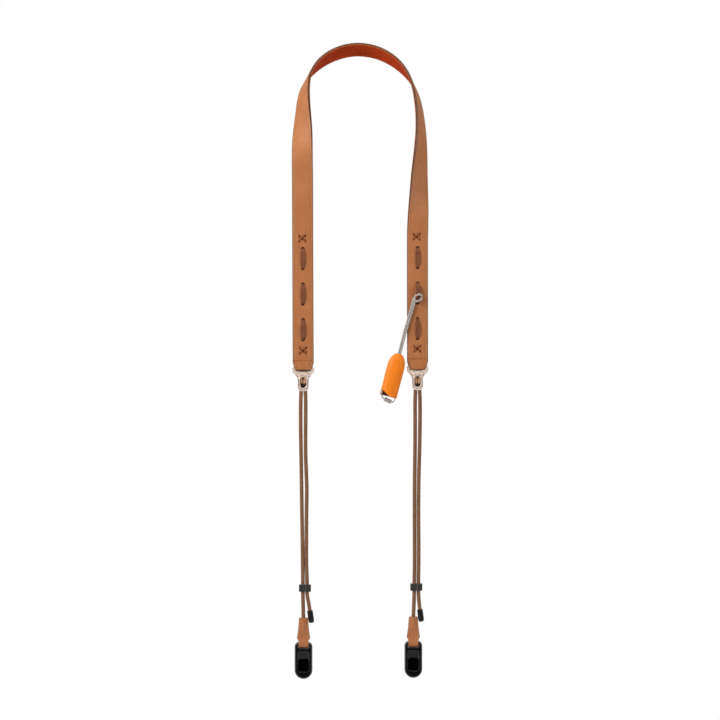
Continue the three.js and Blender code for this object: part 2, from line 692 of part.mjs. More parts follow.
// Slider with a groove down its front and back, and one oval bore for both strands
function slider() {
  const halfX = (sliderPitch + cordRoom) / 2 + sliderSideWall;
  const halfY = cordRoom / 2 + sliderFaceWall;
  const corner = sliderCorner;
  const shape = new THREE.Shape();
  shape.moveTo(-halfX + corner, -halfY);
  shape.lineTo(-sliderGroove, -halfY);
  shape.lineTo(0, -halfY + sliderGroove);
  shape.lineTo(sliderGroove, -halfY);
  shape.lineTo(halfX - corner, -halfY);
  shape.absarc(halfX - corner, -halfY + corner, corner, -Math.PI / 2, 0, false);
  shape.absarc(halfX - corner, halfY - corner, corner, 0, Math.PI / 2, false);
  shape.lineTo(sliderGroove, halfY);
  shape.lineTo(0, halfY - sliderGroove);
  shape.lineTo(-sliderGroove, halfY);
  shape.lineTo(-halfX + corner, halfY);
  shape.absarc(-halfX + corner, halfY - corner, corner, Math.PI / 2, Math.PI, false);
  shape.absarc(-halfX + corner, -halfY + corner, corner, Math.PI, Math.PI * 1.5, false);
  const bore = new THREE.Path();
  bore.absarc(-sliderPitch / 2, 0, cordRoom / 2, Math.PI * 1.5, Math.PI / 2, true);
  bore.absarc(sliderPitch / 2, 0, cordRoom / 2, Math.PI / 2, -Math.PI / 2, true);
  shape.holes.push(bore);
  return new THREE.ExtrudeGeometry(shape, { depth: sliderHeight, curveSegments: 4, bevelEnabled: false })
    .translate(0, 0, -sliderHeight / 2);
}

// Barrel on the cord's end, bored from the top
function cordEnd() {
  const bore = cordRoom / 2;
  const radius = cordEndDiameter / 2;
  const profile = [
    new THREE.Vector2(0, -cordEndLength),
    ...cordEndRows.map((row) => new THREE.Vector2(row.radius * radius, -row.along * cordEndLength)),
    new THREE.Vector2(bore, 0),
    new THREE.Vector2(bore, -cordEndBore),
    new THREE.Vector2(0, -cordEndBore),
  ];
  return new THREE.LatheGeometry(profile, 12).rotateX(Math.PI / 2);
}

// Leather tab folded round the connector's bar, with the cord's end between its plies
const tabBarRoom = connectorBarDiameter / 2 + fitGap;

function tab() {
  const across = new THREE.Vector3(-1, 0, 0);
  const ply = (face) => tabRows.map((row) => ({
    at: new THREE.Vector3(0, face * row.open * cordRoom / 2, tabHeight * (1 - row.drop)),
    out: new THREE.Vector3(0, face, 0),
    across,
    width: row.width,
  }));
  const foldSteps = 6;
  const fold = Array.from({ length: foldSteps + 1 }, (_, i) => {
    const angle = Math.PI * i / foldSteps;
    const out = new THREE.Vector3(0, Math.cos(angle), -Math.sin(angle));
    return { at: out.clone().multiplyScalar(tabBarRoom), out, across, width: tabFoldWidth };
  });
  const half = tabWidth / 2;
  const section = [[-half, 0], [half, 0], [half, tabThickness], [-half, tabThickness]];
  return sweep([...ply(1), ...fold, ...ply(-1).toReversed()], section);
}

// Quick connector, drawn about the middle of its bar
function connectorOutline() {
  const half = connectorWidth / 2;
  const cornerX = half - connectorCorner;
  const cornerZ = connectorTop - connectorCorner;
  const shape = new THREE.Shape();
  shape.absarc(0, -connectorBottom + half, half, Math.PI, 2 * Math.PI, false);
  shape.absarc(cornerX, cornerZ, connectorCorner, 0, Math.PI / 2, false);
  shape.absarc(-cornerX, cornerZ, connectorCorner, Math.PI / 2, Math.PI, false);
  return shape;
}

function connector() {
  const half = connectorDepth / 2;
  const shelf = -(tabBarRoom + tabThickness + shelfGap);
  const panelFloor = -facePanelTop - facePanelHeight;
  const outside = half + overrun;
  const notchShape = roundedSlab(notchWidth, shelf, connectorTop + 2 * overrun, notchCorner);
  const panelShape = roundedSlab(pocketWidth, panelFloor - overrun, -facePanelTop, notchCorner);
  const pocketShape = roundedSlab(pocketWidth, panelFloor - pocketHeight, panelFloor, pocketCorner);
  const notch = plate(notchShape, outside, -outside, 3);
  const panel = plate(panelShape, -half + facePanelDepth, -outside, 3);
  const pocket = plate(pocketShape, -half + pocketDepth, -outside, 3);
  return toGeometry(
    toSolid(plate(connectorOutline(), half, -half, 6, connectorEdge))
      .subtract(toSolid(notch))
      .add(toSolid(crossBar(connectorBarDiameter, notchWidth + overrun, 10)))
      .subtract(toSolid(panel))
      .subtract(toSolid(pocket)));
}

// Tag: a sleeve open at both ends, a wire loop in it, and the crimp that closes the loop. The
// tag is drawn hanging straight down from the sleeve's top.
function sleeveForm(inset, extra) {
  const rim = Array.from({ length: 16 }, (_, i) => {
    const angle = 2 * Math.PI * i / 16;
    return [Math.cos(angle), Math.sin(angle)];
  });
  const stations = sleeveRows.toReversed().map((row) => ({
    at: new THREE.Vector3(0, 0, -row.along * sleeveLength),
    across: new THREE.Vector3(1, 0, 0),
    out: new THREE.Vector3(0, 1, 0),
    width: row.width * sleeveWidth / 2 - inset,
    height: row.depth * sleeveDepth / 2 - inset,
  }));
  if (extra > 0) {
    stations.unshift({ ...stations[0], at: stations[0].at.clone().setZ(-sleeveLength - extra) });
    stations.push({ ...stations.at(-1), at: stations.at(-1).at.clone().setZ(extra) });
  }
  return sweep(stations, rim);
}

function tagSleeve() {
  const slope = Math.atan2(sleeveBite, sleeveBiteWidth);
  const bite = new THREE.BoxGeometry(3 * sleeveBiteWidth, sleeveDepth, 2 * sleeveBite)
    .translate(0, -sleeveDepth / 2, -sleeveBite)
    .rotateY(slope)
    .translate(-sleeveWidth / 2 + sleeveBiteWidth, 0, -sleeveLength);
  return toGeometry(toSolid(sleeveForm(0, 0))
    .subtract(toSolid(sleeveForm(sleeveWall, overrun)))
    .subtract(toSolid(bite)));
}

function wireLoop() {
  const points = wireRows.map((row) => new THREE.Vector3(
    row.across * wireLoopWidth / 2, 0, -wireLoopTop - row.along * wireLoopHeight));
  return cordAlong(points, wireDiameter, 6, 1);
}

function crimp() {
  const half = crimpLength / 2;
  const radius = crimpDiameter / 2;
  const bore = wireDiameter / 2 + fitGap;
  const profile = [
    [bore, -half], [radius - crimpBevel / 2, -half], [radius, -half + crimpBevel],
    [radius, half - crimpBevel], [radius - crimpBevel / 2, half], [bore, half], [bore, -half],
  ];
  return new THREE.LatheGeometry(profile.map(([r, y]) => new THREE.Vector2(r, y)), 12).rotateZ(Math.PI / 2);
}

addPiece('strap_outer', strapOuter(), leather);
addPiece('strap_lining', strapLining(), liningLeather);

for (const [name, leg] of Object.entries(legs)) {
  laceCentres(leg).forEach((z, i) => {
    const carriesTag = name === 'right' && i === tagLoopIndex;
    const geometry = carriesTag
      ? laceLoop(tagLoop, laceDiameter / 2 + tagCordDiameter + 2 * fitGap)
      : laceLoop(plainLoop, laceDiameter / 2 + laceStandOff);
    addPiece(`lace_loop_${name}_${i + 1}`, geometry, laceFinish).position.set(legX(leg, z), leatherFaceY, z);
  });

  addPiece(`end_ring_${name}`, endRing(), castFinish).position.set(leg.footX, hardwareY, leg.barZ);

  const route = adjusterPoints(adjusterRoutes[name]);
  addPiece(`adjuster_cord_${name}`, cordAlong(route, cordDiameter, 8), braidFinish);
  addPiece(`cord_slider_${name}`, slider(), plasticFinish).position.set(leg.sliderX, hardwareY, leg.sliderZ);

  const end = route.at(-1);
  const heading = end.clone().sub(route.at(-2)).normalize();
  const endPiece = addPiece(`cord_end_${name}`, cordEnd(), plasticFinish);
  endPiece.position.copy(end).addScaledVector(heading, fitGap - cordEndBore);
  endPiece.rotation.y = Math.atan2(-heading.x, -heading.z);

  const connectorGroup = new THREE.Group();
  connectorGroup.position.set(leg.connectorX, hardwareY, leg.connectorZ);
  group.add(connectorGroup);
  addPiece(`tab_${name}`, tab(), leather, connectorGroup);
  addPiece(`connector_${name}`, connector(), plasticFinish, connectorGroup);
}

const tagPath = tagRoute.map((point) => new THREE.Vector3(...point));
addPiece('tag_cord', cordAlong(tagPath, tagCordDiameter, 8), greyBraidFinish);

const tagGroup = new THREE.Group();
const hitchZ = laceCentres(legs.right)[tagLoopIndex] - hitchBelowLoop * laceHoleReach;
const lean = THREE.MathUtils.degToRad(tagLean);
tagGroup.position.set(
  legX(legs.right, hitchZ) - hitchToLoop - tagHang * Math.sin(lean),
  leatherFaceY - tagStandOff - tagCordDiameter / 2,
  hitchZ - tagHang * Math.cos(lean));
tagGroup.rotation.y = lean;
group.add(tagGroup);
addPiece('tag_sleeve', tagSleeve(), orangeFinish, tagGroup);
addPiece('tag_wire_loop', wireLoop(), steelFinish, tagGroup);
const crimpPiece = addPiece('tag_crimp', crimp(), steelFinish, tagGroup);
crimpPiece.position.set(crimpShift, 0, -wireLoopTop - crimpAlong * wireLoopHeight);
crimpPiece.rotation.y = THREE.MathUtils.degToRad(crimpTurn);

export default group;
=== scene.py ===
# %% [markdown]
# # A camera neck strap
#
# The strap is a narrow leather band that lies over a neck with its two legs hanging in front.
# Each leg ends in a cast ring, a doubled braided cord with a slider, a leather tab and a black
# quick connector. A small orange tag hangs from one of the laced loops.
#
# The imported model gives every piece its place, so nothing is fitted by eye here. The looks are
# built around it: smooth leather, real braids, stitches, cast edges, and finishes with painted
# highlights and shade.

import math

import bmesh
import bpy
import numpy as np
from mathutils import Matrix, Vector


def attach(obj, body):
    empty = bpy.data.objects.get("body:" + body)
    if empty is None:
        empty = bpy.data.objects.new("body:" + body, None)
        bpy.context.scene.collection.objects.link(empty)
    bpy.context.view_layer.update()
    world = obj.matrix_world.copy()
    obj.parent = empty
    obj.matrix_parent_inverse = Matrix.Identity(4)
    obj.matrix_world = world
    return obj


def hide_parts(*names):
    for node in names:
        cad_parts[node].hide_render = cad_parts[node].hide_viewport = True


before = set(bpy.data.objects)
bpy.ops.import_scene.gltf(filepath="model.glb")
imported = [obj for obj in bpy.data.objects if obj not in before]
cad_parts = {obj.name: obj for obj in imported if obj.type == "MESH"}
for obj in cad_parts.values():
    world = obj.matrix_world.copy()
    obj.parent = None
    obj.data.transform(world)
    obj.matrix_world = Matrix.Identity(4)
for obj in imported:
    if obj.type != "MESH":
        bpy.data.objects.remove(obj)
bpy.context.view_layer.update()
MM = 0.001

# %% [markdown]
# ## The camera
#
# The picture was taken from straight in front with a long lens, level with the middle of the
# strap. A long lens keeps the crown of the band, which lies further back, almost as large as the
# legs. So the camera stands 2.6 m away and looks along +Y.

# %% Camera
picture_width = 720
focal_length = 2481.8  # in steps of the picture's width
sensor_width = 36
camera_data = bpy.data.cameras.new("camera")
camera_data.sensor_width = sensor_width
camera_data.lens = focal_length * sensor_width / picture_width
camera = bpy.data.objects.new("camera", camera_data)
camera.location = (0, -2.65585, -0.331)
camera.rotation_euler = (math.pi / 2, 0, 0)
bpy.context.scene.collection.objects.link(camera)
bpy.context.scene.camera = camera
print("lens", round(camera_data.lens, 1), "mm")

# %% [markdown]
# ## Shader maths
#
# Every finish here is worked out from a few noises, waves and masks. Typing nodes one by one is
# slow to read, so a signal is wrapped in a small class that turns Python's own operators into
# Math nodes. One method places any other node: its settings come first, then its inputs.

# %% Signals and finishes
def maths(operation, turned_round=False):
    """A method that feeds a signal and what is given with it to a Math node, last first if asked."""
    def method(self, *others):
        values = (*others, self) if turned_round else (self, *others)
        return self.finish.node("ShaderNodeMath", {"operation": operation}, dict(enumerate(values)))
    return method


class Signal:
    """A number or colour that varies over a surface."""

    def __init__(self, finish, socket):
        self.finish = finish
        self.socket = socket

    __add__, __radd__ = maths("ADD"), maths("ADD", True)
    __sub__, __rsub__ = maths("SUBTRACT"), maths("SUBTRACT", True)
    __mul__, __rmul__ = maths("MULTIPLY"), maths("MULTIPLY", True)
    __mod__, __abs__ = maths("FLOORED_MODULO"), maths("ABSOLUTE")
    power, floor, fraction, sine = maths("POWER"), maths("FLOOR"), maths("FRACT"), maths("SINE")

    def between(self, low, high):
        """0 below low, 1 above high and smooth between."""
        return self.finish.node(
            "ShaderNodeMapRange", {"interpolation_type": "SMOOTHSTEP"},
            {0: self, 1: low, 2: high, 3: 0.0, 4: 1.0})


class Finish:
    """One material. Constants go straight on the shader's sockets, signals are linked to them."""

    def __init__(self, name, **constants):
        self.material = bpy.data.materials.new(name)
        self.material.use_nodes = True
        self.nodes = self.material.node_tree.nodes
        self.links = self.material.node_tree.links
        self.shader = self.nodes["Principled BSDF"]
        for socket, value in constants.items():
            self.shader.inputs[socket.replace("_", " ")].default_value = value

    def node(self, kind, settings=None, inputs=None, output=0):
        node = self.nodes.new(kind)
        for name, value in (settings or {}).items():
            if name == "stops":
                ramp = node.color_ramp.elements
                while len(ramp) < len(value):
                    ramp.new(0.5)
                for element, (place, colour) in zip(ramp, value):
                    element.position = place
                    element.color = (*colour, 1)
            else:
                setattr(node, name, value)
        for name, value in (inputs or {}).items():
            if isinstance(value, Signal):
                self.links.new(value.socket, node.inputs[name])
            else:
                node.inputs[name].default_value = value
        return Signal(self, node.outputs[output])

    def place(self, name="Object"):
        return self.node("ShaderNodeTexCoord", output=name)

    def split(self, vector):
        parts = self.node("ShaderNodeSeparateXYZ", inputs={0: vector})
        outputs = parts.socket.node.outputs
        return [Signal(self, outputs[i]) for i in range(3)]

    def stretched(self, vector, x, y, z):
        return self.node("ShaderNodeMapping", inputs={"Vector": vector, "Scale": (x, y, z)})

    def noise(self, vector, scale, detail=2.0, roughness=0.5):
        return self.node("ShaderNodeTexNoise", inputs={
            "Vector": vector, "Scale": scale, "Detail": detail, "Roughness": roughness})

    def cells(self, vector, scale, feature="F1", output="Distance"):
        return self.node("ShaderNodeTexVoronoi", {"feature": feature}, {
            "Vector": vector, "Scale": scale}, output)

    def ramp(self, signal, *stops):
        return self.node("ShaderNodeValToRGB", {"stops": stops}, {0: signal})

    def blend(self, share, first, second):
        node = self.nodes.new("ShaderNodeMix")
        node.data_type = "RGBA"
        for index, value in ((0, share), (6, first), (7, second)):
            if isinstance(value, Signal):
                self.links.new(value.socket, node.inputs[index])
            else:
                node.inputs[index].default_value = value if index == 0 else (*value, 1)
        return Signal(self, node.outputs[2])

    def bump(self, height, depth_mm, strength=1.0, under=None):
        inputs = {"Height": height, "Distance": depth_mm * MM, "Strength": strength}
        if under:
            inputs["Normal"] = under
        return self.node("ShaderNodeBump", inputs=inputs)

    def wear(self, **signals):
        for name, signal in signals.items():
            self.links.new(signal.socket, self.shader.inputs[name.replace("_", " ")])
        return self.material


def tone(red, green, blue):
    """A screen colour, 0 to 255, as the linear values that a shader wants."""
    shares = [v / 255 for v in (red, green, blue)]
    return tuple(v / 12.92 if v <= 0.04045 else ((v + 0.055) / 1.055) ** 2.4 for v in shares)


print("signals ready")

# %% [markdown]
# ## Smooth lines
#
# Everything soft on the strap follows a line: the band follows its drape, the cords their routes
# and the laces their loops. A Catmull-Rom curve passes through each chosen point, so a short list
# of points is enough, and points that lie close together give a tight bend.

# %% A smooth line through chosen points
def smooth_line(points, steps, even=False):
    """Points along a curve through the given ones, with so many steps between each pair."""
    rows = np.asarray(points, dtype=float)
    first = 2 * rows[0] - rows[1]
    last = 2 * rows[-1] - rows[-2]
    rows = np.vstack([first, rows, last])
    line = []
    for i in range(1, len(rows) - 2):
        p0, p1, p2, p3 = rows[i - 1:i + 3]
        gaps = [1.0, 1.0, 1.0]
        if not even:
            gaps = [max(np.linalg.norm(b - a) ** 0.5, 1e-9) for a, b in ((p0, p1), (p1, p2), (p2, p3))]
        d0, d1, d2 = gaps
        t1 = (p1 - p0) / d0 - (p2 - p0) / (d0 + d1) + (p2 - p1) / d1
        t2 = (p2 - p1) / d1 - (p3 - p1) / (d1 + d2) + (p3 - p2) / d2
        t1, t2 = t1 * d1, t2 * d1
        for k in range(steps):
            s = k / steps
            line.append(p1 + t1 * s + (3 * p2 - 3 * p1 - 2 * t1 - t2) * s ** 2
                        + (2 * p1 - 2 * p2 + t1 + t2) * s ** 3)
    line.append(rows[-2])
    return np.array(line)


def even_steps(line, step):
    """The same line with points a fixed distance apart, and each point's distance along it."""
    lengths = np.linalg.norm(np.diff(line, axis=0), axis=1)
    along = np.concatenate([[0], np.cumsum(lengths)])
    count = max(2, int(round(along[-1] / step)) + 1)
    marks = np.linspace(0, along[-1], count)
    return np.column_stack([np.interp(marks, along, line[:, k]) for k in range(3)]), marks


def length_of(line):
    return np.linalg.norm(np.diff(line, axis=0), axis=1).sum()


def unit(vectors):
    return vectors / np.linalg.norm(vectors, axis=-1, keepdims=True)


def side_directions(line, start):
    """A direction square to the line at each point, carried along it without twisting."""
    ahead = unit(np.gradient(line, axis=0))
    side = np.asarray(start, dtype=float)
    sides = []
    for direction in ahead:
        side = unit(side - np.dot(side, direction) * direction)
        sides.append(side)
    return ahead, np.array(sides)


def mesh_piece(name, points, faces, material, uv=None, smooth=True):
    """A new object from points in millimetres. uv gives each face corner its place, in metres."""
    mesh = bpy.data.meshes.new(name)
    mesh.from_pydata((np.asarray(points) * MM).tolist(), [], faces)
    if uv is not None:
        layer = mesh.uv_layers.new(name="cut")
        layer.data.foreach_set("uv", np.asarray(uv, dtype=np.float32).ravel())
    if smooth:
        mesh.shade_smooth()
    else:
        mesh.shade_flat()
    mesh.materials.append(material)
    piece = bpy.data.objects.new(name, mesh)
    bpy.context.scene.collection.objects.link(piece)
    return piece


def wall_faces(rows, sides, closed=False):
    """Quads between rings of points. Closed also joins the last ring to the first."""
    faces = []
    for row in range(rows if closed else rows - 1):
        here, there = row * sides, (row + 1) % rows * sides
        for i in range(sides):
            k = (i + 1) % sides
            faces.append([here + i, here + k, there + k, there + i])
    return faces


def end_faces(rows, sides):
    """The flat faces that close the first and the last of such rings."""
    last = (rows - 1) * sides
    return [list(range(sides))[::-1], [last + i for i in range(sides)]]


def round_turn(sides):
    """Cosine and sine of even steps round a circle."""
    angles = [2 * math.pi * i / sides for i in range(sides)]
    return [(math.cos(angle), math.sin(angle)) for angle in angles]


def paint_faces(piece, kinds, *finishes):
    """Adds finishes to a piece. Each face wears the one that its kind counts to, from 0."""
    for finish in finishes:
        piece.data.materials.append(finish)
    piece.data.polygons.foreach_set("material_index", [int(kind) for kind in kinds])


print("line of 3 points:", smooth_line([[0, 0, 0], [1, 0, 0], [2, 1, 0]], 4).round(2)[-1])

# %% [markdown]
# ## Braided cord
#
# The cords are braided from flat yarns that wind round them both ways and go over and under each
# other. A bump map alone would leave the cord's edge a straight line, so the yarns are raised in
# the mesh: each point is pushed out by how high the top yarn lies there. One set of yarns counts
# up round the cord and the other down, and which set is on top changes like a chequerboard.

# %% A braided tube
def yarn_height(along, around, yarns, pitch):
    """Height of the top yarn, 0 to 1, at distances along a cord and shares of a turn round it."""
    rising = yarns * around + along / pitch
    falling = yarns * around - along / pitch
    rising_on_top = (np.floor(rising) + np.floor(falling)) % 2 < 1
    a = np.sin(np.pi * (rising % 1))
    b = np.sin(np.pi * (falling % 1))
    return np.where(rising_on_top, a * b ** 0.35, b * a ** 0.35)


def braided_tube(name, line, diameter, material, start, yarns=8, pitch=1.3, relief=0.16, sides=32,
                 step=0.4, pinch=0.0, squeeze=1.0):
    """A closed braided tube, squeezed thinner over the pinched length at its ends. Its UV runs along
    it in metres and round it in turns."""
    route, marks = even_steps(line, step)
    ahead, side = side_directions(route, start)
    other = np.cross(ahead, side)
    turns = np.arange(sides) / sides
    height = yarn_height(marks[:, None], turns[None, :], yarns, pitch)
    radius = diameter / 2 + relief * (height - 0.3)
    if pinch:
        from_end = np.minimum(marks, marks[-1] - marks) / pinch
        radius = radius * np.clip(squeeze + (1 - squeeze) * from_end, 0, 1)[:, None]
    angle = 2 * np.pi * turns
    outward = (np.cos(angle)[None, :, None] * side[:, None, :]
               + np.sin(angle)[None, :, None] * other[:, None, :])
    points = (route[:, None, :] + radius[..., None] * outward).reshape(-1, 3)
    faces = wall_faces(len(route), sides) + end_faces(len(route), sides)
    u = marks * MM
    uv = []
    for near, far in zip(u[:-1], u[1:]):
        for turn in turns:
            uv += [(near, turn), (near, turn + 1 / sides), (far, turn + 1 / sides), (far, turn)]
    uv += [(0.0, 0.0)] * sides + [(u[-1], 0.0)] * sides
    return mesh_piece(name, points, faces, material, uv)


def braid_finish(name, dark, mid, light, yarns, pitch, painted_light_bands=()):
    """Yarns that vary in colour, painted lighter on their crowns and darker in the hollows between them
    as painted light and shade, with fine fibres. A painted band of light or shade has its lowest and
    highest height, its strength and its colour."""
    f = Finish(name, Sheen_Weight=0.25, Sheen_Roughness=0.5, Specular_IOR_Level=0.25)
    u, v, _ = f.split(f.place("UV"))
    rising = v * yarns + u * (1 / (pitch * MM))
    falling = v * yarns - u * (1 / (pitch * MM))
    chequer = ((rising.floor() + falling.floor()) % 2).between(0.4, 0.6)
    a = (rising.fraction() * math.pi).sine()
    b = (falling.fraction() * math.pi).sine()
    crown = a * b.power(0.4) * (1 - chequer) + b * a.power(0.4) * chequer
    fibre_run = rising * (1 - chequer) + falling * chequer
    fibres = (fibre_run * (2 * math.pi * 4)).sine() * 0.5 + 0.5
    where = f.place()
    fuzz = f.noise(where, 2600, 3, 0.6)
    patches = f.noise(where, 90, 2)
    # Painted light and shade: yarn crowns are painted lighter and the hollows between them darker.
    shade = crown * 0.62 + fuzz * 0.34 + patches * 0.22 + fibres * 0.08 - 0.16
    colour = f.ramp(shade, (0.12, dark), (0.5, mid), (0.95, light))
    _, _, height = f.split(where)
    # Bands of painted light or shade, set by height.
    for low, high, strength, band_colour in painted_light_bands:
        within = height.between(low, low + 0.0015) * (1 - height.between(high - 0.002, high))
        colour = f.blend(within * strength, colour, band_colour)
    bump = f.bump(crown * 0.7 + fibres * 0.18 + fuzz * 0.3, 0.16, 0.7)
    return f.wear(Base_Color=colour, Roughness=0.72 + fuzz * 0.25, Normal=bump)


# Inside the end rings the cord is painted paler round the pin as a painted highlight, and painted dark
# below it as painted shade.
ring_painted_light = [(-0.3635, -0.3550, 0.9, tone(14, 6, 3)), (-0.3560, -0.3440, 0.75, tone(214, 164, 128))]
brown_braid = braid_finish(
    "brown_braid", tone(60, 36, 24), tone(130, 87, 60), tone(174, 126, 92), yarns=8, pitch=1.3,
    painted_light_bands=ring_painted_light)
grey_braid = braid_finish(
    "grey_braid", tone(60, 48, 42), tone(176, 166, 158), tone(252, 248, 244), yarns=4, pitch=1.9)
print("braids", brown_braid.name, grey_braid.name)

# %% [markdown]
# ## The adjuster cords
#
# Each adjuster cord leaves the tab at the bottom, runs up through the slider, goes round the pin
# inside the end ring and comes back down through the slider to its loose end. Both strands hang
# straight under the weight of the connector, so the route is the one that the model uses.

# %% Adjuster cords
hardware_y = -54.2
cord_diameter = 3.9
cord_fit = 0.2
adjuster_routes = {
    "left": [
        (-59.3, -611.0), (-59.4, -599.0), (-59.6, -588.0), (-59.9, -577.0), (-59.9, -570.1),
        (-59.9, -563.0), (-60.1, -545.0), (-60.4, -520.0), (-60.9, -490.0), (-61.3, -460.0),
        (-61.8, -430.0), (-62.2, -400.0), (-62.15, -375.0), (-61.85, -366.0), (-61.6, -359.2),
        (-61.55, -355.8), (-61.6, -352.6), (-62.2, -349.05), (-61.41, -347.14), (-59.5, -346.35),
        (-57.59, -347.14), (-56.8, -349.05), (-57.4, -352.6), (-57.45, -355.8), (-57.4, -359.2),
        (-57.2, -366.0), (-56.95, -375.0), (-57.0, -390.0), (-57.0, -430.0), (-56.4, -447.0),
        (-55.8, -465.0), (-56.0, -485.0), (-56.2, -515.0), (-56.1, -545.0), (-55.5, -563.0),
        (-55.5, -570.1), (-55.4, -577.0), (-53.7, -586.5), (-51.7, -599.7),
    ],
    "right": [
        (55.9, -610.3), (56.0, -598.5), (56.5, -587.0), (56.8, -576.0), (56.8, -569.0),
        (56.9, -562.0), (57.2, -545.0), (57.2, -520.0), (57.1, -490.0), (57.2, -460.0),
        (57.6, -430.0), (57.8, -400.0), (57.75, -375.0), (58.0, -366.0), (58.2, -358.2),
        (58.25, -354.8), (58.2, -351.5), (57.6, -347.95), (58.39, -346.04), (60.3, -345.25),
        (62.21, -346.04), (63.0, -347.95), (62.4, -351.5), (62.35, -354.8), (62.4, -358.2),
        (62.6, -366.0), (62.9, -375.0), (62.9, -395.0), (62.3, -430.0), (61.8, -447.0),
        (61.5, -465.0), (61.3, -490.0), (61.5, -520.0), (61.5, -545.0), (61.2, -562.0),
        (61.2, -569.0), (61.3, -576.0), (62.0, -586.0), (63.5, -598.5),
    ],
}
adjuster_lines = {}
adjuster_cords = {}
for name, route in adjuster_routes.items():
    line = smooth_line([(x, hardware_y, z) for x, z in route], 8)
    adjuster_lines[name] = line
    adjuster_cords[name] = braided_tube(
        f"adjuster_cord_braid_{name}", line, cord_diameter, brown_braid, start=(0, -1, 0))
    length = length_of(line)
    faces = len(adjuster_cords[name].data.polygons)
    print(name, "adjuster cord", round(length, 1), "mm,", faces, "faces")

# %% [markdown]
# ## The tag's cord
#
# The tag hangs on a thin grey braid. It starts at the tag's wire loop, goes up through the sleeve
# to the second laced loop of the right leg, is hitched twice round it and comes back down beside
# itself. It is limp and carries only the tag, so it hangs in one straight double strand.

# %% Tag cord
tag_cord_diameter = 1.9
tag_route = [
    (33.9, -59.9, -352.8), (34.6, -60.8, -350.1), (35.4, -60.4, -345.4), (37.1, -58.9, -336.8),
    (41.6, -58.9, -319.3), (47.1, -58.9, -298.0), (52.2, -59.0, -280.6), (55.0, -59.1, -271.0),
    (56.1, -58.9, -267.0), (58.1, -58.6, -264.9), (62.2, -58.6, -264.3), (64.5, -60.0, -264.2),
    (64.6, -62.4, -263.9), (63.1, -64.0, -262.7), (60.8, -64.2, -262.8), (58.5, -64.2, -264.0),
    (57.0, -64.0, -265.9), (56.9, -63.9, -268.0), (58.5, -64.1, -269.5), (60.8, -64.2, -269.3),
    (63.1, -64.0, -268.1), (64.6, -62.4, -266.7), (64.5, -60.0, -266.7), (62.2, -58.6, -267.0),
    (58.9, -58.6, -267.6), (57.4, -58.8, -269.6), (56.6, -59.0, -272.6), (54.1, -59.0, -281.1),
    (49.0, -58.9, -298.5), (43.4, -58.9, -319.8), (39.0, -58.9, -337.3), (36.3, -57.4, -345.6),
    (34.6, -57.0, -350.1), (33.9, -57.9, -352.8),
]
tag_line = smooth_line(tag_route, 8)
tag_cord = braided_tube(
    "tag_cord_braid", tag_line, tag_cord_diameter, grey_braid, start=(1, 0, 0),
    yarns=4, pitch=1.9, relief=0.16, sides=20, step=0.3)

# %% [markdown]
# ## The drape
#
# The band is two flat plies that follow one line over the neck. A short table gives that line for
# each leg: how far across, forward and down it has come, and how far its outer face is turned
# from facing forward. Near the crown the band lies over the neck with its lining towards the
# camera, and it twists until the legs hang flat. The same rows make both plies, so they nest.

# %% The band's line and its leaning
strap_width = 22
outer_thickness = 1.5
lining_thickness = 1.0
ply_gap = 0.3
leg_span = 120.4
crown_depth = 54.5
crown_rise = 200
crown_roll = 117.8
foot_taper_height = 9.5
foot_width = 15.4
tail_length = 26
tail_settle = 7
fit_gap = 0.3
bar_diameter = 2.6
ear_rise = 1.6
outer_from = lining_thickness + ply_gap
outer_to = outer_from + outer_thickness
outer_middle = (outer_from + outer_to) / 2
fold_radius = bar_diameter / 2 + fit_gap + outer_thickness / 2
bar_above_fold = bar_diameter / 2 + fit_gap + outer_thickness
leg_inner_y = -crown_depth
leather_face_y = leg_inner_y - outer_to
legs = {
    "left": {"side": -1, "foot": -59.5, "fold": -342.7, "last_drop": 0.756},
    "right": {"side": 1, "foot": 60.3, "fold": -341.6, "last_drop": 1.050},
}
# Each row: across, forward, drop and roll.
left_drape = [
    (0.228, 0.034, 0.007, 117.0), (0.440, 0.101, 0.029, 113.8), (0.626, 0.190, 0.063, 107.6),
    (0.778, 0.297, 0.107, 97.8), (0.890, 0.412, 0.159, 84.5), (0.952, 0.521, 0.219, 68.0),
    (0.975, 0.613, 0.283, 56.5), (0.982, 0.693, 0.349, 47.5), (0.988, 0.771, 0.416, 35.5),
    (0.995, 0.858, 0.481, 23.0), (1.001, 0.940, 0.548, 12.5), (1.003, 0.986, 0.616, 5.5),
    (1.001, 1.000, 0.686, 1.5), (1.000, 1.000, 0.756, 0),
]
right_drape = [
    (0.261, 0.007, 0.013, 115.9), (0.498, 0.058, 0.046, 111.2), (0.696, 0.138, 0.094, 103.6),
    (0.848, 0.237, 0.153, 92.8), (0.947, 0.341, 0.221, 81.5), (1.003, 0.438, 0.294, 74.5),
    (1.034, 0.526, 0.369, 70.0), (1.049, 0.605, 0.446, 64.5), (1.048, 0.674, 0.524, 57.5),
    (1.037, 0.732, 0.602, 50.0), (1.024, 0.790, 0.681, 42.5), (1.018, 0.859, 0.758, 34.5),
    (1.012, 0.930, 0.836, 24.5), (1.005, 0.980, 0.915, 12.5), (1.001, 0.998, 0.985, 3.5),
    (1.000, 1.000, 1.050, 0),
]


def drape_point(row, side):
    """A row's shares as millimetres and degrees."""
    across, forward, drop, roll = row
    return (side * across * leg_span / 2, -forward * crown_depth, -drop * crown_rise, roll)


drape_rows = [drape_point(row, -1) for row in reversed(left_drape)]
drape_rows += [(0, 0, 0, crown_roll)]
drape_rows += [drape_point(row, 1) for row in right_drape]
drape_line = smooth_line(drape_rows, 10, even=True)


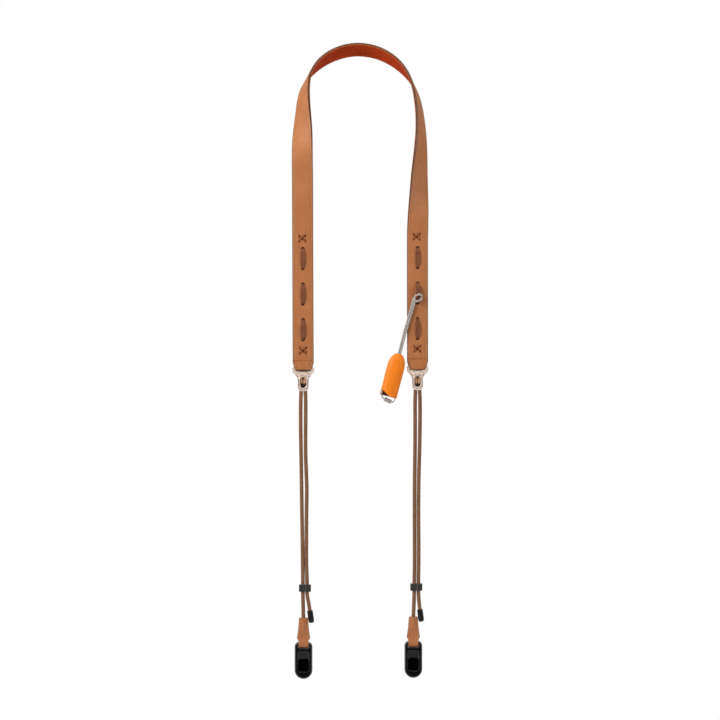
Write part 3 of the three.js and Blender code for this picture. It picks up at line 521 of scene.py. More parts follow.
def band_station(at, along, roll_degrees, width=1.0):
    """A place on the band with its directions across and outwards, and its share of the width."""
    forward = np.array([0.0, -1.0, 0.0])
    level = unit(forward - np.dot(forward, along) * along)
    sideways = np.cross(along, level)
    roll = math.radians(roll_degrees)
    out = math.cos(roll) * level - math.sin(roll) * sideways
    at = np.asarray(at, dtype=float)
    return {"at": at, "across": np.cross(out, along), "out": out, "width": width}


def drape_stations():
    along = unit(np.gradient(drape_line[:, :3], axis=0))
    return [band_station(p[:3], a, p[3]) for p, a in zip(drape_line, along)]


def leg_x(leg, z):
    """Where the middle of a leg is at a height, between the drape's end and its foot."""
    start = -leg["last_drop"] * crown_rise
    share = (start - z) / (start - leg["fold"] - bar_above_fold)
    straight = leg["side"] * leg_span / 2
    return straight + (leg["foot"] - straight) * min(max(share, 0), 1)


def foot_share(height):
    """How wide the band is near its foot, as a share of its full width."""
    share = min(max(height / foot_taper_height, 0), 1)
    share = 1 - (1 - share) ** 1.35
    return foot_width / strap_width + (1 - foot_width / strap_width) * share


def front_station(leg, z):
    along = np.array([0.0, 0.0, 1.0 if leg["side"] < 0 else -1.0])
    return band_station((leg_x(leg, z), leg_inner_y, z), along, 0, foot_share(z - leg["fold"]))


def fold_stations(leg):
    """The tail behind, down to the fold and round the ring's bar."""
    bar_z = leg["fold"] + bar_above_fold
    across = np.array([float(leg["side"]), 0, 0])
    shift = 2 * fold_radius - outer_thickness - fit_gap
    stations = []
    tail_y = leg_inner_y - outer_middle + outer_thickness + fit_gap - outer_middle
    for z in np.linspace(leg["fold"] + tail_length, bar_z + ear_rise + tail_settle + 0.6, 12):
        stations.append({"at": np.array([leg["foot"], tail_y, z]), "across": across,
                         "out": np.array([0, 1.0, 0]), "width": 1.0})
    for height in np.linspace(1, 0, 9):
        settled = shift * height * height * (3 - 2 * height)
        slope = shift * 6 * height * (1 - height) / tail_settle
        out = unit(np.array([0, 1.0, slope]))
        rise = ear_rise + height * tail_settle
        middle = np.array([leg["foot"], hardware_y + fold_radius - settled, bar_z + rise])
        stations.append({"at": middle - outer_middle * out, "across": across, "out": out,
                         "width": foot_share(bar_above_fold + rise)})
    for angle in np.linspace(0, math.pi, 13):
        out = np.array([0, math.cos(angle), -math.sin(angle)])
        at = np.array([leg["foot"], hardware_y, bar_z]) + (fold_radius - outer_middle) * out
        stations.append({"at": at, "across": across, "out": out,
                         "width": foot_share(bar_above_fold * (1 - math.sin(angle)))})
    return stations


def leg_stations(leg, low, count=None, step=1.5):
    """The straight front of a leg from a height near its foot up to where the drape begins."""
    top = -leg["last_drop"] * crown_rise - 1.5
    count = count or int((top - low) / step) + 1
    return [front_station(leg, z) for z in np.linspace(low, top, count)]


def whole_band():
    """The outer ply's stations, from the left tail's end over the neck to the right tail's end."""
    first, last = legs["left"], legs["right"]
    left_side = fold_stations(first) + leg_stations(first, first["fold"] + 4)
    right_side = fold_stations(last) + leg_stations(last, last["fold"] + 4)
    return left_side + drape_stations() + right_side[::-1]


print("drape", len(drape_line), "stations, crown to foot drop", legs["left"]["fold"])

# %% [markdown]
# ## Leather
#
# The leather is smooth veg-tanned hide. Up close it has fine pores and faint creases, its colour
# is uneven in soft patches, the cut edges are burnished darker, and handling has left a few
# lighter scuffs. All of that is worked out from noises on the object's own coordinates. Only the
# edge needs the band's own UV, which holds the distance from the middle of the band in metres.

# %% Leather finishes
def leather_finish(name, dark, mid, light, edge, half_width, edge_mm=0.6, shine=0.5, gloss=0.35,
                   foot=(-2.0, -1.9)):
    """Hide with pores, creases and uneven colour, a pressed line and an edge of its own colour. The
    strip between edge and pressed line is painted lighter as a painted highlight, and below the two
    heights of its foot, where it turns under, it is painted darker as painted shade."""
    f = Finish(name, Specular_IOR_Level=gloss)
    where = f.place()
    _, _, height = f.split(where)
    across, _, _ = f.split(f.place("UV"))
    from_edge = half_width - abs(across) * (1 / MM)
    patches = f.noise(where, 42, 3, 0.55)
    mottle = f.noise(where, 260, 4, 0.62)
    streaks = f.noise(f.stretched(where, 900, 900, 90), 1.0, 3, 0.6)
    pores = f.cells(where, 2400)
    creases = f.cells(f.stretched(where, 620, 620, 430), 1.0, "DISTANCE_TO_EDGE")
    shade = patches * 0.5 + mottle * 0.32 + streaks * 0.18
    body = f.ramp(shade, (0.3, dark), (0.5, mid), (0.72, light))
    scuffs = f.noise(f.stretched(where, 520, 520, 150), 1.0, 5, 0.7).between(0.66, 0.8)
    body = f.blend(scuffs * 0.12, body, light)
    pressed_at = 2.3
    # Painted highlight: the strip between the edge and the pressed line is painted lighter.
    body = f.blend((1 - from_edge.between(pressed_at - 0.3, pressed_at + 0.2)) * 0.5, body, light)
    line = 1 - abs(from_edge - pressed_at).between(0.1, 0.5)
    body = f.blend(line * 0.3, body, edge)
    ragged = (mottle - 0.5) * 0.3
    at_edge = 1 - (from_edge + ragged).between(edge_mm * 0.7, edge_mm * 1.3)
    colour = f.blend(at_edge, body, edge)
    # Painted shade: below the foot heights, where the band turns under, it is painted dark.
    colour = f.blend((1 - height.between(*foot)) * 0.75, colour, tone(74, 40, 24))
    grain = pores * 0.5 + creases.between(0.0, 0.16) * 0.55 + mottle * 0.35
    fine = f.bump(grain, 0.10, 0.4)
    pressed = f.bump(1 - line, 0.25, 0.6, fine)
    soft = f.bump(patches, 0.4, 0.3, pressed)
    roughness = shine + mottle * 0.16 + scuffs * 0.1 - at_edge * 0.08
    return f.wear(Base_Color=colour, Roughness=roughness, Normal=soft)


strap_leather = leather_finish(
    "strap_leather", tone(163, 99, 55), tone(173, 107, 61), tone(186, 121, 76),
    tone(98, 60, 38), strap_width / 2, 0.75, 0.44, foot=(-0.3417, -0.3405))
lining_leather = leather_finish(
    "lining_leather", tone(146, 42, 8), tone(166, 52, 10), tone(182, 66, 16),
    tone(150, 84, 52), strap_width / 2, 0.3, 0.7, gloss=0.1)
tab_leather = leather_finish(
    "tab_leather", tone(156, 94, 54), tone(170, 106, 62), tone(184, 120, 76),
    tone(126, 78, 48), 6.8, 0.5, 0.46)


def plain_finish(name, dark, light, roughness, scale=900, bump_mm=0.05, metal=0.0, edge_highlight=None,
                 hollow_shade=None, shoulder_shading=None, off_side=(-2.0, -1.9), **constants):
    """A moulded, cast or cut surface: a little uneven in colour, gloss and height. Its raised edges
    can get a painted highlight and its inner corners painted shade. Its rounded shoulders, between
    front and sides, can get painted light or shade too, which off_side can keep from its flat sides."""
    f = Finish(name, Metallic=metal, **constants)
    where = f.place()
    grain = f.noise(where, scale, 4, 0.6)
    clouds = f.noise(where, 70, 3)
    colour = f.ramp(grain * 0.45 + clouds * 0.55, (0.3, dark), (0.7, light))
    # Painted light: shoulders, raised edges and inner corners take colours that stand in for light and
    # shade.
    if edge_highlight:
        _, forward, _ = f.split(f.node("ShaderNodeNewGeometry", output="Normal"))
        turned = (1 - abs(forward).between(0.6, 0.96)) * abs(forward).between(*off_side)
        colour = f.blend(turned * 0.7, colour, shoulder_shading)
        bend = f.node("ShaderNodeNewGeometry", output="Pointiness")
        colour = f.blend(bend.between(0.505, 0.55) * 0.85, colour, edge_highlight)
        colour = f.blend((1 - bend.between(0.45, 0.495)) * 0.85, colour, hollow_shade)
    return f.wear(Base_Color=colour, Roughness=roughness - 0.08 + grain * 0.12 + clouds * 0.06,
                  Normal=f.bump(grain, bump_mm, 0.5))


# Raw leather darkened as painted shade for the inside of the lace holes.
hole_shade_leather = plain_finish("hole_shade_leather", tone(54, 19, 8), tone(82, 33, 14), 0.85, Specular_IOR_Level=0.1)
stitch_thread = plain_finish("stitch_thread", tone(78, 32, 10), tone(104, 48, 20), 0.8, 2600, 0.06,
                             Specular_IOR_Level=0.15)
print("leathers", strap_leather.name, lining_leather.name, tab_leather.name)

# %% [markdown]
# ## The two plies of the band
#
# A band could be an extruded flat profile bent by a curve modifier, but its twist and its rolled
# ends are easier to hold when the section is swept in code: one ring of points at each station.
# The outer ply's section has rounded, burnished edges and a face that is very slightly domed.

# %% Sweep a section along stations
def rounded_section(half, low, high, edge, crown=0.0, steps=4, flat=3):
    """Section of a ply, anticlockwise, with round edges. Each corner has across and height."""
    ring = []
    centres = [(half - edge, low + edge, -90), (half - edge, high - edge, 0),
               (-half + edge, high - edge, 90), (-half + edge, low + edge, 180)]
    for x, z, turn in centres:
        for i in range(steps + 1):
            angle = math.radians(turn + 90 * i / steps)
            ring.append((x + edge * math.cos(angle), z + edge * math.sin(angle)))
        if turn in (0, 180):
            sign = 1 if turn == 0 else -1
            for share in np.linspace(1, -1, flat + 2)[1:-1]:
                rise = crown * (1 - share * share)
                ring.append((sign * share * (half - edge), (high + rise) if sign > 0 else low))
    return ring


def swept(name, stations, section, material):
    """A closed skin: the section set at each station. Its UV is across and along, in metres."""
    sides = len(section)
    u = np.array([c[0] for c in section])
    v = np.array([c[1] for c in section])
    dome = np.cos(0.5 * np.pi * u / u.max()) ** 1.6
    rings = np.array([
        s["at"] + s["across"] * (u * s["width"])[:, None]
        + s["out"] * (v + dome * s.get("dome", 0))[:, None] for s in stations])
    centre = rings.mean(axis=1)
    steps = np.linalg.norm(np.diff(centre, axis=0), axis=1)
    along = np.concatenate([[0], np.cumsum(steps)]) * MM
    faces = wall_faces(len(stations), sides) + end_faces(len(stations), sides)
    uv = []
    for row in range(len(stations) - 1):
        for side in range(sides):
            a, b = u[side] * MM, u[(side + 1) % sides] * MM
            uv += [[a, along[row]], [b, along[row]], [b, along[row + 1]], [a, along[row + 1]]]
    uv += [[u[n] * MM, 0.0] for n in range(sides)][::-1]
    uv += [[u[n] * MM, along[-1]] for n in range(sides)]
    return mesh_piece(name, rings.reshape(-1, 3), faces, material, uv)


half_width = strap_width / 2
band_outer = swept(
    "band_leather", whole_band(),
    rounded_section(half_width, outer_from, outer_to, 0.45, crown=0.12), strap_leather)
lining_left, lining_right = [
    leg_stations(legs[name], legs[name]["fold"] + tail_length + fit_gap, count)
    for name, count in (("left", 80), ("right", 60))]
lining_run = lining_left + drape_stations() + lining_right[::-1]
lining_section = rounded_section(half_width, 0, lining_thickness, 0.2)
band_lining = swept("band_lining", lining_run, lining_section, lining_leather)
# The lining's face against the outer ply shows only through the lace holes, painted dark as painted
# shade.
against_outer = range(9, 13)
last_wall = (len(lining_run) - 1) * len(lining_section)
paint_faces(band_lining, [n < last_wall and n % len(lining_section) in against_outer
                          for n in range(len(band_lining.data.polygons))], hole_shade_leather)
print("band", len(band_outer.data.polygons), "lining", len(band_lining.data.polygons), "faces")

# %% [markdown]
# ## Lace holes
#
# Each laced loop goes into the leather through two slots with pointed ends. They are cut right
# through the outer ply with a Boolean modifier, and the cutter's material comes along, so the
# walls of a slot are raw leather painted dark as painted shade. The modifier is applied by taking the
# evaluated mesh.

# %% Cut the lace holes
lace_length = 23.7
lace_hole_diameter = 4.8
lace_hole_reach = (lace_length - lace_hole_diameter) / 2
lace_pitch = 37.2
lace_above_fold = 43.5
lace_diameter = 2.5
lace_spacing = 2.7
slot_half_width = 2.0
slot_far_tip = 12.2
slot_near_tip = 6.4
slot_bottom_y = leg_inner_y - outer_from + 0.1


def lace_centres(leg):
    return [leg["fold"] + lace_above_fold + (2 - i) * lace_pitch for i in range(3)]


def baked(piece):
    """Applies what modifiers a piece has by taking its evaluated mesh."""
    graph = bpy.context.evaluated_depsgraph_get()
    mesh = bpy.data.meshes.new_from_object(piece.evaluated_get(graph))
    old = piece.data
    piece.modifiers.clear()
    piece.data = mesh
    mesh.name = piece.name
    bpy.data.meshes.remove(old)
    return piece


def lens_outline(x, z, half_width, tip_far, tip_near, toward):
    """A slot from its pointed tip, away from the loop, to its rounder inner end."""
    outline = []
    for i in range(25):
        share = i / 24
        wide = math.sin(math.pi * share ** 0.72) ** 0.8 if 0 < share < 1 else 0
        outline.append((half_width * wide, tip_far + (tip_near - tip_far) * share))
    right = [(x + w, z + toward * d) for w, d in outline]
    left = [(x - w, z + toward * d) for w, d in outline[1:-1]][::-1]
    return right + left


def prism(name, outline, back_y, front_y, material):
    """A flat outline in x and z, given a depth along Y."""
    count = len(outline)
    points = [(x, back_y, z) for x, z in outline] + [(x, front_y, z) for x, z in outline]
    area = sum(outline[i][0] * outline[(i + 1) % count][1] - outline[(i + 1) % count][0] * outline[i][1]
               for i in range(count))
    order = list(range(count)) if area > 0 else list(range(count))[::-1]
    faces = [order[::-1], [count + n for n in order]]
    for a, b in zip(order, order[1:] + order[:1]):
        faces.append([a, b, count + b, count + a])
    return mesh_piece(name, points, faces, material, smooth=False)


def cut_away(piece, cutters, operation="DIFFERENCE"):
    for cutter in cutters:
        modifier = piece.modifiers.new("cut", "BOOLEAN")
        modifier.object = cutter
        modifier.operation = operation
        modifier.solver = "EXACT"
        modifier.material_mode = "TRANSFER"
    baked(piece)
    for cutter in cutters:
        mesh = cutter.data
        bpy.data.objects.remove(cutter)
        bpy.data.meshes.remove(mesh)
    return piece


slots = []
for name, leg in legs.items():
    for i, centre in enumerate(lace_centres(leg)):
        for end in (-1, 1):
            outline = lens_outline(
                leg_x(leg, centre), centre, slot_half_width, slot_far_tip, slot_near_tip, end)
            slots.append(prism("slot", outline, slot_bottom_y, leather_face_y - 1, hole_shade_leather))
cut_away(band_outer, slots)
band_outer.data.set_sharp_from_angle(angle=math.radians(40))
print("band after cutting", len(band_outer.data.polygons), "faces")

# %% [markdown]
# ## Laced loops
#
# Each loop is one braided lace that comes up through a slot, lies flat on the leather and goes
# back down, twice side by side. The loop that carries the tag is pulled away from the leather
# where the tag's cord is hitched round it, and the others are pressed flat against the leather.
# The rows are shares of the loop's reach and height.

# %% Laces
plain_loop = [
    (1.12, -0.60, 0.22), (1.04, -0.30, 0.34), (0.93, 0.12, 0.52), (0.80, 0.52, 0.72),
    (0.62, 0.86, 0.90), (0.30, 1.00, 1.00), (-0.30, 1.00, 1.00), (-0.62, 0.86, 0.90),
    (-0.80, 0.52, 0.72), (-0.93, 0.12, 0.52), (-1.04, -0.30, 0.34), (-1.12, -0.60, 0.22),
]
tag_loop = [
    (1.12, -0.26, 0.22), (1.04, -0.12, 0.34), (0.93, 0.06, 0.52), (0.80, 0.24, 0.72),
    (0.60, 0.42, 0.92), (0.28, 0.70, 1.00), (-0.05, 0.94, 1.00), (-0.35, 1.00, 1.00),
    (-0.66, 0.98, 0.94), (-0.86, 0.70, 0.74), (-0.98, 0.30, 0.52), (-1.06, -0.05, 0.34),
    (-1.12, -0.26, 0.22),
]
lace_braid = braid_finish(
    "lace_braid", tone(48, 22, 10), tone(130, 72, 41), tone(180, 114, 70), yarns=6, pitch=1.15)
at_face = Matrix.Translation((0, leather_face_y * MM, 0))
pressed_flat = at_face @ Matrix.Diagonal((1, 0.62, 1, 1)) @ at_face.inverted()
lace_loops = []
for name, leg in legs.items():
    for i, centre in enumerate(lace_centres(leg)):
        carries_tag = name == "right" and i == 1
        rows = tag_loop if carries_tag else plain_loop
        lift = lace_diameter / 2 + (tag_cord_diameter + 2 * fit_gap if carries_tag else 0.25)
        strands = []
        for side in (-1, 1):
            line = smooth_line([
                (leg_x(leg, centre) + side * lace_spacing / 2 * spread,
                 leather_face_y - rise * lift,
                 centre + along * lace_hole_reach)
                for along, rise, spread in rows], 6)
            strand = braided_tube(
                f"lace_{name}_{i}_{side}", line, lace_diameter, lace_braid, start=(side, 0, 0),
                yarns=6, pitch=1.15, relief=0.22, sides=24, step=0.35, pinch=4.5, squeeze=0.42)
            if not carries_tag:
                strand.data.transform(pressed_flat)
            strands.append(strand)
        lace_loops.append((f"lace_loop_{name}_{i + 1}", strands))


def joined(name, pieces):
    """One object from several, with its place in its mesh."""
    with bpy.context.temp_override(active_object=pieces[0], selected_editable_objects=pieces):
        bpy.ops.object.join()
    pieces[0].name = name
    pieces[0].data.name = name
    return pieces[0]


laces = {node: joined(f"{node}_braid", strands) for node, strands in lace_loops}
print("laces", len(laces), "each", len(laces["lace_loop_left_1"].data.polygons), "faces")

# %% [markdown]
# ## Stitching
#
# The band is sewn with boxes crossed by an X, and a plain row holds the tail above each ring.
# Stitches repeat along lines, which is work for Geometry Nodes: the tree takes the sewing lines
# as edges, spreads points along them and sets one short thread on each point along the line's
# direction. It ends in Realize Instances, and the result is taken as a plain mesh.

# %% Sewing lines
def sewing_box(x, z, width, height):
    """A box sewn with an X: its two heavy diagonals, and what shows of its lighter sides."""
    w, h = width / 2, height / 2
    diagonals = [[(x - w * 0.9, z + h * 0.85), (x + w * 0.85, z - h * 0.95)],
                 [(x - w * 0.85, z - h * 0.95), (x + w * 0.9, z + h * 0.85)]]
    sides = [[(x + w * 0.1, z + h * 0.95), (x + w * 0.75, z + h)],
             [(x - w * 0.85, z - h * 0.3), (x - w * 0.85, z + h * 0.4)],
             [(x + w * 0.9, z - h * 0.4), (x + w * 0.9, z + h * 0.5)]]
    return diagonals, sides


picture_middle = picture_width / 2
picture_scale = 1.0476
picture_centre_z = -331.0


def picture_x(across):
    """Millimetres on the legs from a place across the camera's picture."""
    return (across - picture_middle) * picture_scale


def picture_z(down):
    return (picture_middle - down) * picture_scale + picture_centre_z


face_y = leather_face_y - 0.2
cross_lines = []
side_lines = []
for px, py in ((302.2, 238.4), (303.0, 350.4), (416.6, 236.6), (417.2, 348.5)):
    diagonals, sides = sewing_box(picture_x(px), picture_z(py), 7.2, 6.7)
    cross_lines += diagonals
    side_lines += sides
# Each row above a ring: where it begins and ends across the picture, and how far down it is.
tail_rows = [(294.2, 311.0, 360.4), (408.4, 425.8, 358.8)]
tail_sewing = [[(picture_x(first), picture_z(py)), (picture_x(last), picture_z(py))]
               for first, last, py in tail_rows]


def sewing_lines(name, lines):
    """A mesh of loose edges, one for each line to sew."""
    points = [(x * MM, face_y * MM, z * MM) for line in lines for x, z in line]
    edges = [(2 * i, 2 * i + 1) for i in range(len(lines))]
    mesh = bpy.data.meshes.new(name)
    mesh.from_pydata(points, edges, [])
    piece = bpy.data.objects.new(name, mesh)
    bpy.context.scene.collection.objects.link(piece)
    return piece


crosses = sewing_lines("band_stitching", cross_lines)
box_sides = sewing_lines("side_stitching", side_lines)
tails = sewing_lines("tail_stitching", tail_sewing)
print("sewing lines", len(crosses.data.edges), len(box_sides.data.edges), len(tails.data.edges))


# %% Stitches along the lines
def stitch_tree():
    """The Geometry Nodes tree that sets one thread on each point spaced along the lines."""
    tree = bpy.data.node_groups.new("stitch_run", "GeometryNodeTree")
    face = tree.interface
    face.new_socket("Geometry", in_out="INPUT", socket_type="NodeSocketGeometry")
    for name in ("Pitch", "Length", "Thickness"):
        face.new_socket(name, in_out="INPUT", socket_type="NodeSocketFloat")
    face.new_socket("Seed", in_out="INPUT", socket_type="NodeSocketInt")
    face.new_socket("Thread", in_out="INPUT", socket_type="NodeSocketMaterial")
    face.new_socket("Geometry", in_out="OUTPUT", socket_type="NodeSocketGeometry")

    def add(kind, inputs=None, **settings):
        """A node with its settings. Its inputs get a value or a link from another node's socket."""
        node = tree.nodes.new(kind)
        for name, value in settings.items():
            setattr(node, name, value)
        for name, value in (inputs or {}).items():
            if isinstance(value, bpy.types.NodeSocket):
                tree.links.new(value, node.inputs[name])
            else:
                node.inputs[name].default_value = value
        return node.outputs

    given = add("NodeGroupInput")
    lines = add("GeometryNodeMeshToCurve", {"Mesh": given["Geometry"]})
    spaced = add("GeometryNodeResampleCurve",
                 {"Curve": lines["Curve"], "Length": given["Pitch"]}, mode="LENGTH")
    tangent = add("GeometryNodeInputTangent")
    turn = add("FunctionNodeAlignRotationToVector", {"Vector": tangent[0]}, axis="Z")
    thread = add("GeometryNodeMeshUVSphere", {"Segments": 10, "Rings": 8, "Radius": 0.5})
    vary = add("FunctionNodeRandomValue", {2: 0.88, 3: 1.08, "Seed": given["Seed"]},
               data_type="FLOAT")
    longer = add("ShaderNodeMath", {0: given["Length"], 1: vary[1]}, operation="MULTIPLY")
    size = add("ShaderNodeCombineXYZ",
               {"X": given["Thickness"], "Y": given["Thickness"], "Z": longer[0]})
    placed = add("GeometryNodeInstanceOnPoints", {
        "Points": spaced["Curve"], "Instance": thread["Mesh"], "Rotation": turn["Rotation"],
        "Scale": size["Vector"]})
    real = add("GeometryNodeRealizeInstances", {"Geometry": placed["Instances"]})
    painted = add("GeometryNodeSetMaterial",
                  {"Geometry": real["Geometry"], "Material": given["Thread"]})
    smooth = add("GeometryNodeSetShadeSmooth", {"Geometry": painted["Geometry"]})
    add("NodeGroupOutput", {"Geometry": smooth["Geometry"]})
    return tree


def grown(piece, tree, **values):
    """Runs a Geometry Nodes tree on a piece with the given inputs and keeps the plain mesh."""
    modifier = piece.modifiers.new("nodes", "NODES")
    modifier.node_group = tree
    for item in tree.interface.items_tree:
        if item.item_type == "SOCKET" and item.in_out == "INPUT" and item.name in values:
            modifier[item.identifier] = values[item.name]
    return baked(piece)


stitch_run = stitch_tree()
# Each seam: pitch, length and thickness of its stitches, and the seed of their variation.
seams = [(crosses, 2.3, 2.6, 1.35, 7), (box_sides, 2.0, 1.7, 0.8, 5), (tails, 3.0, 1.2, 0.8, 3)]
for seam, pitch, length, thickness, seed in seams:
    grown(seam, stitch_run, Pitch=pitch * MM, Length=length * MM, Thickness=thickness * MM,
          Seed=seed, Thread=stitch_thread)
stitches = joined("band_stitching", [crosses, box_sides, tails])
print("stitches", len(stitches.data.polygons), "faces")

# %% [markdown]
# ## Cast and moulded pieces
#
# The end rings are cast and the sliders and connectors are moulded, so no edge on them is sharp.
# Bevels on a shape joined and cut from many solids often fail where edges meet. Here the solids
# are joined and cut with Booleans, and a Remesh modifier turns the result into one even skin that
# a short smoothing pass rounds off, as a worn mould or a tumbled casting is rounded.

# %% Solids to join and cut
def arc_points(x, z, radius, start, stop, steps=8):
    """Points along an arc about a centre, from one angle to the other, in degrees."""
    angles = [math.radians(start + (stop - start) * i / steps) for i in range(steps + 1)]
    return [(x + radius * math.cos(a), z + radius * math.sin(a)) for a in angles]


def slab_outline(width, low, high, radius, steps=8):
    """A rectangle with round corners, anticlockwise from its lower right corner."""
    half = width / 2
    return (arc_points(half - radius, low + radius, radius, -90, 0, steps)
            + arc_points(half - radius, high - radius, radius, 0, 90, steps)
            + arc_points(-half + radius, high - radius, radius, 90, 180, steps)
            + arc_points(-half + radius, low + radius, radius, 180, 270, steps))


def moved(outline, x, z):
    return [(a + x, b + z) for a, b in outline]


def rod(name, centre, axis, radius, length, material, sides=32):
    """A closed cylinder about a point, along X or Y."""
    points = []
    for end in (-length / 2, length / 2):
        for c, s in round_turn(sides):
            p, q = radius * c, radius * s
            points.append(np.add(centre, (end, p, q) if axis == "X" else (q, end, p)))
    faces = end_faces(2, sides) + wall_faces(2, sides)
    return mesh_piece(name, points, faces, material, smooth=False)


def faced_outwards(piece):
    """Turns a closed shape's faces outwards."""
    form = bmesh.new()
    form.from_mesh(piece.data)
    bmesh.ops.recalc_face_normals(form, faces=form.faces)
    form.to_mesh(piece.data)
    form.free()
    return piece


def moulded(name, solids, cuts, material, grain_mm, rounding, late=()):
    """Joins and cuts solids, adds the late ones, remeshes them to one skin and smooths its edges."""
    piece = solids[0]
    cut_away(piece, solids[1:], "UNION")
    cut_away(piece, cuts)
    cut_away(piece, late, "UNION")
    remesh = piece.modifiers.new("skin", "REMESH")
    remesh.mode = "VOXEL"
    remesh.voxel_size = grain_mm * MM
    remesh.use_smooth_shade = True
    round_off = piece.modifiers.new("round", "SMOOTH")
    round_off.factor = 0.5
    round_off.iterations = rounding
    baked(piece)
    piece.name = name
    piece.data.name = name
    piece.data.materials.clear()
    piece.data.materials.append(material)
    piece.data.shade_smooth()
    return piece


# Painted light: near-white raised edges are a painted highlight, dark hollows and darker shoulders
# painted shade.
cast_metal = plain_finish(
    "cast_metal", tone(190, 164, 147), tone(220, 200, 186), 0.26, 1400, 0.03, metal=0.7,
    edge_highlight=tone(255, 250, 246), hollow_shade=tone(104, 78, 64), shoulder_shading=tone(128, 100, 84))
# Painted shade for the inside of the eye's hollow.
hollow_shade_metal = plain_finish(
    "hollow_shade_metal", tone(40, 24, 18), tone(60, 38, 30), 0.7, Specular_IOR_Level=0.1)
print("ready to mould")

# %% [markdown]
# ## End rings
#
# A cast ring has two round ears that the bar runs between, arms that slope in to a deeper eye,
# and an oval window in the eye's face with a raised lip. The eye is hollow from below, and the
# cord goes round a pin inside it, so brown cord shows through the window, and below that its
# inside, rough and painted dark as painted shade. The edges are painted bright as a painted
# highlight, the hollows darker and the rounded shoulders duller as painted shade.

# %% End rings
ring_width = 22.8
eye_width = 11.2
eye_depth = 5.8
eye_wall = 0.8
ring_drop = 24.2
ring_foot = 4.0
window_width = 6.2
window_height = 11.5
window_top = 9.1
slot_clearance = 0.4
pin_radius = 0.55
cord_room = cord_diameter + 2 * cord_fit
eye_top = -(bar_above_fold + slot_clearance + 0.3)
cavity_top = eye_top - eye_wall
lip_width = 1.5
lip_height = 0.6


def ring_outline():
    """The plate from the front: its right side, from below the eye up, and its mirror."""
    half = ring_width / 2
    eye = eye_width / 2
    slot = foot_width / 2 + slot_clearance
    floor = -(bar_above_fold + 0.1)
    ear = 1.9
    right = arc_points(eye - ring_foot, -ring_drop + ring_foot, ring_foot, -90, 0)
    right += [(eye, -12.0), (eye + 0.25, -10.7), (eye + 0.85, -9.6), (eye + 1.75, -8.4)]
    right += [(half - 1.2, -5.2), (half - 0.3, -3.7)]
    right += arc_points(half - ear, ear_rise - ear, ear, -30, 90, 6)
    right += [(slot, ear_rise), (slot, floor)]
    return right + [(-x, z) for x, z in reversed(right)]


def end_ring(name, leg):
    """Plate, bar, eye and lip joined, the cavity and the window cut, and the pin put in last."""
    x, z = leg["foot"], leg["fold"] + bar_above_fold
    y = hardware_y

    def at(outline, back, front, label):
        return prism(label, moved(outline, x, z), y + back, y + front, cast_metal)

    low = -(window_top + window_height)
    lip = slab_outline(window_width + 2 * lip_width, low - lip_width, -window_top + lip_width,
                       window_width / 2 + lip_width - 0.05, 12)
    window = slab_outline(window_width, low, -window_top, window_width / 2 - 0.02, 12)
    eye = slab_outline(eye_width, -ring_drop, eye_top, ring_foot)
    cavity = slab_outline(eye_width - 2 * eye_wall, -ring_drop - 4, cavity_top, 2.6)
    solids = [
        at(ring_outline(), 1.3, -1.3, "plate"),
        rod("bar", (x, y, z), "X", bar_diameter / 2, foot_width + 4 * slot_clearance, cast_metal),
        at(eye, eye_depth / 2, -eye_depth / 2, "eye"),
        at(lip, 0, -eye_depth / 2 - lip_height, "lip"),
    ]
    cuts = [
        at(cavity, cord_room / 2, -cord_room / 2, "cavity"),
        at(window, 0, -eye_depth / 2 - 2, "window"),
    ]
    pin_z = z + cavity_top - pin_radius - 2 * cord_fit - cord_diameter
    pin = rod("pin", (x, y, pin_z), "Y", pin_radius, cord_room + eye_wall, cast_metal)
    piece = moulded(f"end_ring_cast_{name}", solids, cuts, cast_metal,
                    grain_mm=0.2, rounding=5, late=[pin])
    # Faces inside the eye's hollow wear the painted shade.
    reach = eye_width / 2 - eye_wall + 0.1
    depth = cord_room / 2 + 0.1
    in_hollow = []
    for face in piece.data.polygons:
        across, forward, up = np.array(face.center) / MM - (x, y, z)
        in_hollow.append(abs(across) < reach and abs(forward) < depth and up < cavity_top + 0.1)
    paint_faces(piece, in_hollow, hollow_shade_metal)
    return piece


end_rings = {name: end_ring(name, leg) for name, leg in legs.items()}
print("ring", len(end_rings["left"].data.polygons), "faces")

# %% [markdown]
# ## Sliders and cord ends
#
# The slider is a small black block with one oval bore for both strands and a groove down its
# middle. The cord's loose end is held in a barrel with a rounded nose. Both are moulded plastic
# with the fine matt grain of a spark-eroded mould, and the slider is a softer black, with painted
# highlights on its edges.

# %% Black plastic, sliders and cord ends
black_plastic = plain_finish(
    "black_plastic", tone(8, 8, 8), tone(16, 16, 17), 0.34, 2200, 0.03, Specular_IOR_Level=0.3)
# Painted light: the light grey shoulders and lighter raised edges are a painted highlight, the hollows
# painted shade.
connector_plastic = plain_finish(
    "connector_plastic", tone(2, 2, 3), tone(6, 6, 7), 0.32, 2200, 0.03, edge_highlight=tone(40, 40, 41),
    hollow_shade=tone(1, 1, 1), shoulder_shading=tone(112, 112, 112), off_side=(0.1, 0.4),
    Specular_IOR_Level=0.06)
# Painted light: raised edges get a painted highlight, hollows painted shade and the sides a slightly
# lighter painted tone.
slider_plastic = plain_finish(
    "slider_plastic", tone(24, 24, 24), tone(38, 38, 38), 0.38, 2200, 0.04, edge_highlight=tone(96, 94, 92),
    hollow_shade=tone(8, 8, 8), shoulder_shading=tone(40, 40, 40), Specular_IOR_Level=0.5)
matt_black = plain_finish("matt_black", tone(28, 28, 29), tone(38, 38, 39), 0.7, 2200, 0.05,
                          Specular_IOR_Level=0.15)
